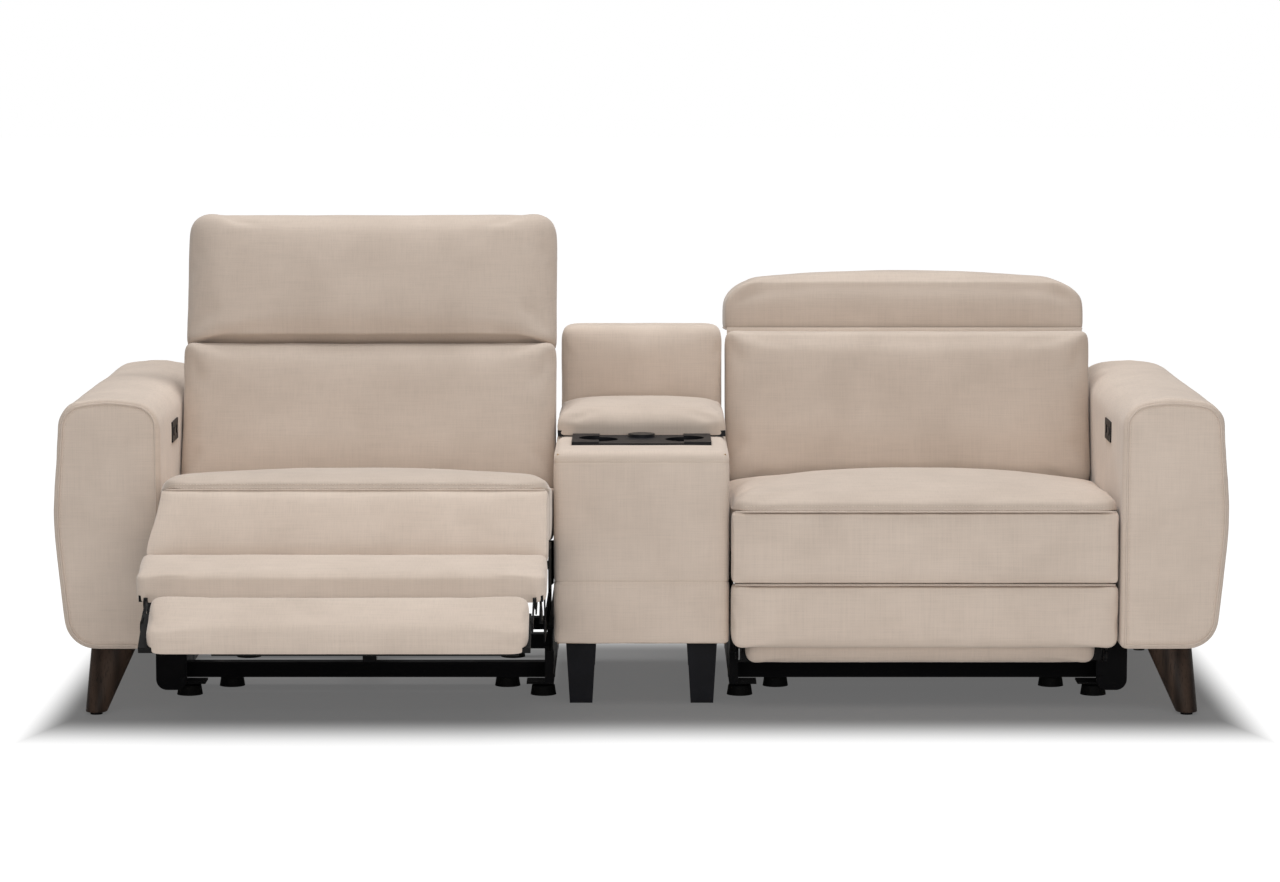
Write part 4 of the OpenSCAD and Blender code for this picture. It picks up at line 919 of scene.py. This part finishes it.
def arm(side):
    base = arm_outline()
    n = len(base)
    mid = Vector((ARM_INNER + ARM_W / 2, (ARM_BOTTOM + ARM_TOP) / 2))

    def inset(d):
        out = []
        for i, p in enumerate(base):
            t = (base[(i + 1) % n] - base[i - 1]).normalized()
            nn = Vector((t[1], -t[0]))
            q = p - nn * d
            out.append(Vector((q[0], max(ARM_BOTTOM + 0.2, q[1]))))
        return out

    verts, faces = [], []
    # rows from the middle of the front face, over both edges, to the middle of the back face
    caps = (0.12, 0.3, 0.5, 0.68, 0.82, 0.92)
    ring_rows = [(0.6, 11.5), (0.2, 9.6), (1.6, 5.2), (4.2, 2.4), (8.0, 0.8), (13.0, 0.0)]
    ys = [24, 38, 56, 80, 110, 145, 185, 230, 280, 335, 395, 455, 515, 570, 620, 665, 705, 740, 768, 792,
          810, 824]
    front = [inset(i) for _, i in ring_rows]
    seam = front[1]
    bulge = 5.5

    def cap_row(f, y, sign):
        row = []
        for p in front[0]:
            q = mid + (p - mid) * f
            row.append((q[0], y - sign * bulge * (1 - f * f), q[1]))
        return row

    for f in caps:
        verts += cap_row(f, 0.6, 1)
    for (y, _), r in zip(ring_rows, front):
        verts += [(p[0], y, p[1]) for p in r]
    flat = inset(0.0)
    for y in ys:
        verts += [(p[0], float(y), p[1]) for p in flat]
    for (y, _), r in reversed(list(zip(ring_rows, front))):
        verts += [(p[0], ARM_DEPTH - y, p[1]) for p in r]
    for f in reversed(caps):
        verts += cap_row(f, ARM_DEPTH - 0.6, -1)
    total = len(verts) // n
    for r in range(total - 1):
        for k in range(n):
            a, b = r * n + k, r * n + (k + 1) % n
            faces.append((a, a + n, b + n, b))
    verts.append((mid[0], 0.6 - bulge, mid[1]))
    verts.append((mid[0], ARM_DEPTH - 0.6 + bulge, mid[1]))
    for k in range(n):
        faces.append((len(verts) - 2, k, (k + 1) % n))
        faces.append((len(verts) - 1, (total - 1) * n + (k + 1) % n, (total - 1) * n + k))
    mat = arm_frame(side)
    o = mesh_object(f"{NAME[side]}_arm_soft", verts, faces, FABRIC, mat)
    fix_normals(o)
    inv = mat.inverted()

    def creases(p):
        # cloth gathers a little where it is pulled over the front and back edges, mostly round the crest
        d = min(abs(p[1] - 9), abs(ARM_DEPTH - 9 - p[1]))
        if p[1] < 6 or p[1] > ARM_DEPTH - 6:
            return fbm(p, 90.0, 2.0 + side) * 0.9
        around = math.atan2(p[2] - mid[1], p[0] - mid[0])
        crest = max(0.0, math.sin(around)) ** 1.2
        gather = math.exp(-d / 42.0) * (1 - math.exp(-d / 7.0))
        w = math.sin(around * 46 + 2.6 * fbm(p, 70.0, 1.0 + side)) + 0.5 * math.sin(around * 29 + 1.0)
        flow = fbm((p[0], p[1] * 0.35, p[2]), 60.0, 7.0 + side) * 1.5 * (0.3 + crest)
        low = 0.25 if p[2] < ARM_BOTTOM + 4 else 1.0
        inner = 0.3 if abs(p[0] - ARM_INNER) < 3 and p[2] < ARM_TOP - 60 else 1.0
        return (gather * w * (0.35 + 1.25 * crest) + flow) * low * inner

    wrinkle(o, inv, creases)
    # the inner wall stays off the seat
    for v in o.data.vertices:
        p = inv @ v.co
        if p[0] < ARM_INNER - 0.6:
            v.co = mat @ Vector((ARM_INNER - 0.6, p[1], p[2]))
        if p[2] < ARM_BOTTOM:
            v.co = mat @ Vector((p[0], p[1], ARM_BOTTOM))
    smooth_sub(o)
    finish_soft(o, "sofa_body", [f"{NAME[side]}_arm_cover"])
    for tag, y, step in (("front", 0.6, -2), ("rear", ARM_DEPTH - 0.6, 2)):
        pts = [mat @ Vector((p[0], y, p[1])) for p in seam]
        welt_on(f"{NAME[side]}_arm_{tag}_welt", "sofa_body", o, dense(pts, 0.008), 2.1)
        pts = [mat @ Vector((p[0], y + step, p[1])) for p in inset(15.5)]
        stitches_on(f"{NAME[side]}_arm_{tag}_stitch", "sofa_body", o, dense(pts, 0.004), lift=0.2,
                    closed=True)


for side in (-1, 1):
    arm(side)


# Console
CON = placed()


def box_cut(obj, boxes):
    for k, (lo, hi) in enumerate(boxes):
        c = round_box(f"cut{k}", lo, hi, 2.0, FABRIC, CON)
        md = obj.modifiers.new("cut", "BOOLEAN")
        md.operation = "DIFFERENCE"
        md.solver = "EXACT"
        md.object = c
        apply_modifiers(obj)
        bpy.data.objects.remove(c)


def console_cover():
    hx = 172.6
    rows = [(136.2, 4.0), (137.5, 1.5), (141.0, 0.0), (200.0, 0.0), (252.0, 0.0), (256.5, 0.6), (258.0, 2.6),
            (259.5, 0.6), (264.0, 0.0), (330.0, 0.0), (420.0, 0.0), (488.0, 0.0), (492.6, 0.5), (494.0, 2.2),
            (495.4, 0.2)]
    levels = [(z, -hx + i, hx - i, 43.2 + i, 707.6 - i, 13.0) for z, i in rows]
    r = 22.0
    for rise, turned in quarter(6)[1:]:
        i = r * turned
        hollow = 3.0 * rise * (1 - turned)
        levels.append((496.0 + r * rise, -hx + i * 0.8, hx - i * 0.8, 43.2 + i - hollow, 707.6 - i * 0.42,
                       13.0))
    s = Soft("console_soft", levels, span(26), span(50),
             lambda u, v: 518.0 + 0.6 * (1 - u ** 6) * (1 - v ** 12))
    o = s.build(FABRIC, CON)

    def creases(p):
        # panels fill out a little between the sewn lines
        z = p[2]
        lo, hi = (141, 256) if z < 257 else (260, 492)
        f = max(0.0, min(1.0, (z - lo) / (hi - lo)))
        full = 2.2 * (1 - abs(2 * f - 1) ** 3) * (1 if z < 494 else 0)
        edge = 1 - math.exp(-(hx - abs(p[0])) / 16.0) if p[1] < 60 else 1 - math.exp(-(p[1] - 43) / 16.0)
        side_limit = 0.15 if abs(p[0]) > hx - 1 else 1.0
        top_limit = 0.3 if z > 512 else 1
        return (full * edge + fbm(p, 85.0, 3.3) * 0.9 + fbm(p, 30.0, 1.3) * 0.3) * side_limit * top_limit

    wrinkle(o, CON.inverted(), creases)
    smooth_sub(o)
    box_cut(o, [((-149.6, 312, 300), (149.6, 542, 540)), ((-132.5, 146, 420), (132.5, 290, 540))])
    finish_soft(o, "sofa_body", ["console_cover"])
    for k, z in enumerate((262.5, 253.5, 498.5)):
        row = [CON @ Vector((x, 41.5, z)) for x in range(-158, 159, 6)]
        stitches_on(f"console_front_stitch{k}", "sofa_body", o, row)
    for k, sx in enumerate((-1, 1)):
        row = [CON @ Vector((sx * 162.5, 41.0, z)) for z in range(150, 490, 6)]
        stitches_on(f"console_edge_stitch{k}", "sofa_body", o, row)
        row = [CON @ Vector((sx * hx, y, 505.0)) for y in range(70, 690, 8)]
        stitches_on(f"console_side_stitch{k}", "sofa_body", o, row)


def console_lid():
    m = CON @ Matrix.Translation((0, 0, 530.9))
    hx = 169.8
    # the cloth also wraps the board, whose back edge stops short so that it clears the top as the lid turns
    wrap = ((-12.0, 2.5, 553.0), (-11.0, 0.6, 555.0), (-8.0, 0.0, 559.0), (-2.0, 0.0, 565.7),
            (5.0, 0.0, 565.7))
    levels = [(z, -hx + i, hx - i, 300.3 + i, y1, 3.0 + max(0.0, z)) for z, i, y1 in wrap]
    for k, (rise, f) in enumerate(quarter(6)):
        levels.append((9.0 + 25.0 * rise, -hx + 12.0 * f, hx - 12.0 * f, 300.3 + 22.0 * f, 565.7 - 17.0 * f,
                       8.0 + 1.8 * k))

    def top(u, v):
        return 34.0 + 14.0 * (1 - abs(u) ** 3.6) * (1 - abs(v) ** 2.6)

    def creases(p):
        return fbm(p, 80.0, 12.0) * 0.7 + fbm(p, 30.0, 2.0) * 0.2

    def slots(o):
        # channels for the lid's hinge brackets
        box_cut(o, mirrored(106, 114.4, (530, 515), (570, 568)))

    # the lid takes the seats' darker copy, painted shade
    make_cushion("console_lid_soft", levels, span(24), span(20), top, m, "console_lid", "console_lid_pad",
                 {4: 0.7, 3: 0.9}, {}, 6.0, (-170.2, 299.8, -12.1), (170.2, 566.2, 52.0), creases, 3.0,
                 slots, None, FABRIC_SHADED_SEATS)


def console_back():
    m = CON @ Matrix.Translation((0, 687.6, 0)) @ STAND
    hx = 167.0
    levels = [(z, -hx + i * 0.7, hx - i * 0.7, 524.3 + i, 716.8 - i, (12.0, 24.0))
              for z, i in pad_rows(82.0, 6.0, 22.0)]

    def top(u, v):
        return 82.0 + 11.0 * (1 - abs(u) ** 3.4) * (1 - abs(v) ** 2.8)

    def creases(p):
        return fbm(p, 90.0, 22.0) * 0.8 + fbm(p, 32.0, 4.0) * 0.2

    def slots(o):
        # channels for the back's hinge brackets, and a sewn line along each side
        box_cut(o, mirrored(59, 67.4, (570, 556.5), (690, 569.5)))
        for sx in (-1, 1):
            row = [m @ Vector((sx * 156.0, z, 88.0)) for z in range(545, 700, 5)]
            stitches_on(f"console_back_stitch{sx}", "console_back", o, row, lift=0.2)

    make_cushion("console_back_soft", levels, span(22), span(14), top, m, "console_back", "console_back_pad",
                 {4: 0.7, 5: 0.5}, {1: 1.6}, 6.0, (-167.4, 524.0, 0.0), (167.4, 717.2, 96.0),
                 creases, 3.0, slots)
    outside_cloth("console_back", CON, 700.2, 152, 539, 702, 20.0, 0.5,
                  ((0.1, 1.0), (2.0, 0.0), (3.6, 0.8), (4.4, 3.0)), 18, 10, 2.2)


console_cover()
console_lid()
console_back()


# Wooden legs and the CAD nodes that stay in view
def legs(side):
    """Both tapered legs of an arm, turned round and splayed, with a softened foot and top edge."""
    verts, faces = [], []
    rows = [(0.0, -1.6), (0.006, -0.4), (0.02, 0.0), (0.25, 0.0), (0.5, 0.0), (0.75, 0.0), (0.97, 0.0),
            (0.992, -0.3), (1.0, -1.4)]
    sides = 56
    foot, foot_r, top_r = 5.0, 21.0, 45.0
    for y, splay in ((70, -44), (ARM_DEPTH - 70, 44)):
        faces += ring_faces(len(rows), sides, len(verts))
        top = Vector((ARM_INNER + 102, y, ARM_BOTTOM))
        tip = top + Vector((32, splay, foot - ARM_BOTTOM))
        for t, dr in rows:
            c = tip.lerp(top, t)
            r = foot_r + (top_r - foot_r) * t + dr
            for k in range(sides):
                a = 2 * math.pi * k / sides
                verts.append((c[0] + r * math.cos(a), c[1] + r * math.sin(a), c[2]))
    return mesh_object(f"{NAME[side]}_wooden_legs", verts, faces, WALNUT, arm_frame(side))


for side in (-1, 1):
    o = legs(side)
    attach(o, "sofa_body")
    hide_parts(f"{NAME[side]}_arm_legs")


def dress(name, mat, bevel, segments):
    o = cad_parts[name]
    o.data.materials.clear()
    o.data.materials.append(mat)
    md = o.modifiers.new("edge", "BEVEL")
    md.width = bevel * MM
    md.segments = segments
    md.limit_method = "ANGLE"
    md.angle_limit = math.radians(38)
    md.use_clamp_overlap = True
    md.harden_normals = False
    smooth(o.data)
    o.data.set_sharp_from_angle(angle=math.radians(34))


for n in ("left", "right"):
    for parts, mat, bevel, segments in (
            (("base", "carriage", "lift_links", "swing_arms", "fold_arms", "flip_links"), STEEL, 0.5, 1),
            (("motor",), PLASTIC, 2.0, 2),
            (("switch_plate",), PLASTIC, 0.8, 2),
            (("open_button", "close_button"), GLOSS, 0.5, 2),
            (("arm_frame",), PLY, 0.8, 1),
            (("back_frame", "headrest_frame"), PLY, 0.6, 1),
            (("seat_frame",), BOARD, 0.6, 1),
            (("footrest_board", "flipper_board"), BOARD, 0.5, 1)):
        for part in parts:
            dress(f"{n}_{part}", mat, bevel, segments)
for name, mat, bevel, segments in (
        ("console_hinges", STEEL, 0.4, 1), ("console_cabinet", PLY, 0.8, 1),
        ("console_back_board", PLY, 0.8, 1), ("console_lid_board", PLASTIC, 0.8, 1),
        ("console_tray", PLASTIC, 1.0, 2), ("tray_cap", GLOSS, 0.9, 3), ("console_legs", SATIN, 1.6, 2),
        ("leg_glides", RUBBER, 0.8, 2), ("base_feet", RUBBER, 1.6, 2)):
    dress(name, mat, bevel, segments)


# Stage, light and camera
# grey that the camera sees on the floor round the footprint: a painted shadow
FLOOR_SHADOW_GREY = 0.124


def seen(nt):
    """1 for camera and transmission rays, 0 for the others."""
    rays = node(nt, "LightPath").outputs
    return math_node(nt, "MAXIMUM", rays["Is Camera Ray"], rays["Is Transmission Ray"])


def make_floor():
    """White floor for the light that bounces off it. For the camera it shows a painted shadow, a flat grey
    in a soft-edged box round the footprint with the real shadow faint on top, and outside that box it turns
    plain white.
    """
    m = bpy.data.materials.new("floor_paint")
    m.use_nodes = True
    nt = m.node_tree
    nt.nodes.clear()
    camera = node(nt, "LightPath").outputs["Is Camera Ray"]
    # for the camera the floor's colour drops to 0.12, so the real shadow shows only faintly over the painted
    # grey
    paint = node(nt, "BsdfDiffuse", Color=mix_rgb(nt, camera, (0.86,) * 3, (0.12,) * 3))
    xyz = node(nt, "SeparateXYZ", Vector=node(nt, "TexCoord").outputs["Object"])
    painted_shadow_edges = []
    # each axis: the footprint's middle, where the painted shadow's flat grey ends and where plain white
    # starts
    for axis, mid, near, off in (("X", 0.008, 1.115, 1.212), ("Y", 0.19, 0.415, 0.755)):
        away = math_node(nt, "ABSOLUTE", math_node(nt, "SUBTRACT", xyz.outputs[axis], mid), 0.0)
        rng = node(nt, "MapRange")
        rng.interpolation_type = "SMOOTHSTEP"
        for k, v in enumerate((away, near, off, FLOOR_SHADOW_GREY, 1.0)):
            put(rng.inputs[k], v)
        painted_shadow_edges.append(rng.outputs[0])
    strength = math_node(nt, "MULTIPLY", seen(nt), math_node(nt, "MAXIMUM", *painted_shadow_edges))
    glow = node(nt, "Emission", Color=(1, 1, 1), Strength=strength)
    add = node(nt, "AddShader")
    put(add.inputs[0], paint.outputs[0])
    put(add.inputs[1], glow.outputs[0])
    node(nt, "OutputMaterial", Surface=add.outputs[0])
    me = bpy.data.meshes.new("floor")
    s = 30
    me.from_pydata([(-s, -s, 0), (s, -s, 0), (s, s, 0), (-s, s, 0)], [], [(0, 1, 2, 3)])
    me.materials.append(m)
    o = link(bpy.data.objects.new("floor", me))


def make_world():
    """Plain white for the camera, a dim light for everything else."""
    w = bpy.data.worlds.new("studio")
    scene.world = w
    w.use_nodes = True
    nt = w.node_tree
    nt.nodes.clear()
    dim = node(nt, "Background", Color=(1.0, 0.99, 0.98), Strength=0.18)
    white = node(nt, "Background", Color=(1, 1, 1), Strength=1.0)
    mx = node(nt, "MixShader")
    for k, v in enumerate((seen(nt), dim.outputs[0], white.outputs[0])):
        put(mx.inputs[k], v)
    node(nt, "OutputWorld", Surface=mx.outputs[0])


make_floor()
make_world()


def area(name, loc, target, size, energy):
    l = bpy.data.lights.new(name, "AREA")
    l.shape = "RECTANGLE"
    l.size, l.size_y = size
    l.energy = energy
    o = link(bpy.data.objects.new(name, l))
    o.location = loc
    d = Vector(target) - Vector(loc)
    o.rotation_euler = d.to_track_quat("-Z", "Y").to_euler()


area("top", (0.0, 1.2, 4.8), (0, 0.0, 0.3), (4.5, 2.0), 155)
area("slope", (0.2, -3.6, 4.6), (0, 0, 0.4), (4.0, 2.0), 84)
area("front", (0.5, -7.2, 1.5), (0, 0, 0.5), (4.0, 1.6), 108)

# solved from the photograph: metres in front of the arm fronts, eye height, degrees down, lens in mm
EYE_AWAY, EYE_HEIGHT, LOOK_DOWN, LENS = 8.15433, 1.4346, 6.2464, 118.61
cam_data = bpy.data.cameras.new("camera")
cam_data.sensor_width = 36.0
cam_data.lens = LENS
cam_data.clip_end = 100
cam = link(bpy.data.objects.new("camera", cam_data))
cam.location = (0.0, -(EYE_AWAY + ORIGIN_BACK * MM), EYE_HEIGHT)
cam.rotation_euler = (math.radians(90 - LOOK_DOWN), 0, 0)
cam_data.shift_x = -1.5 / 1280
scene.camera = cam

scene.view_settings.view_transform = "Standard"
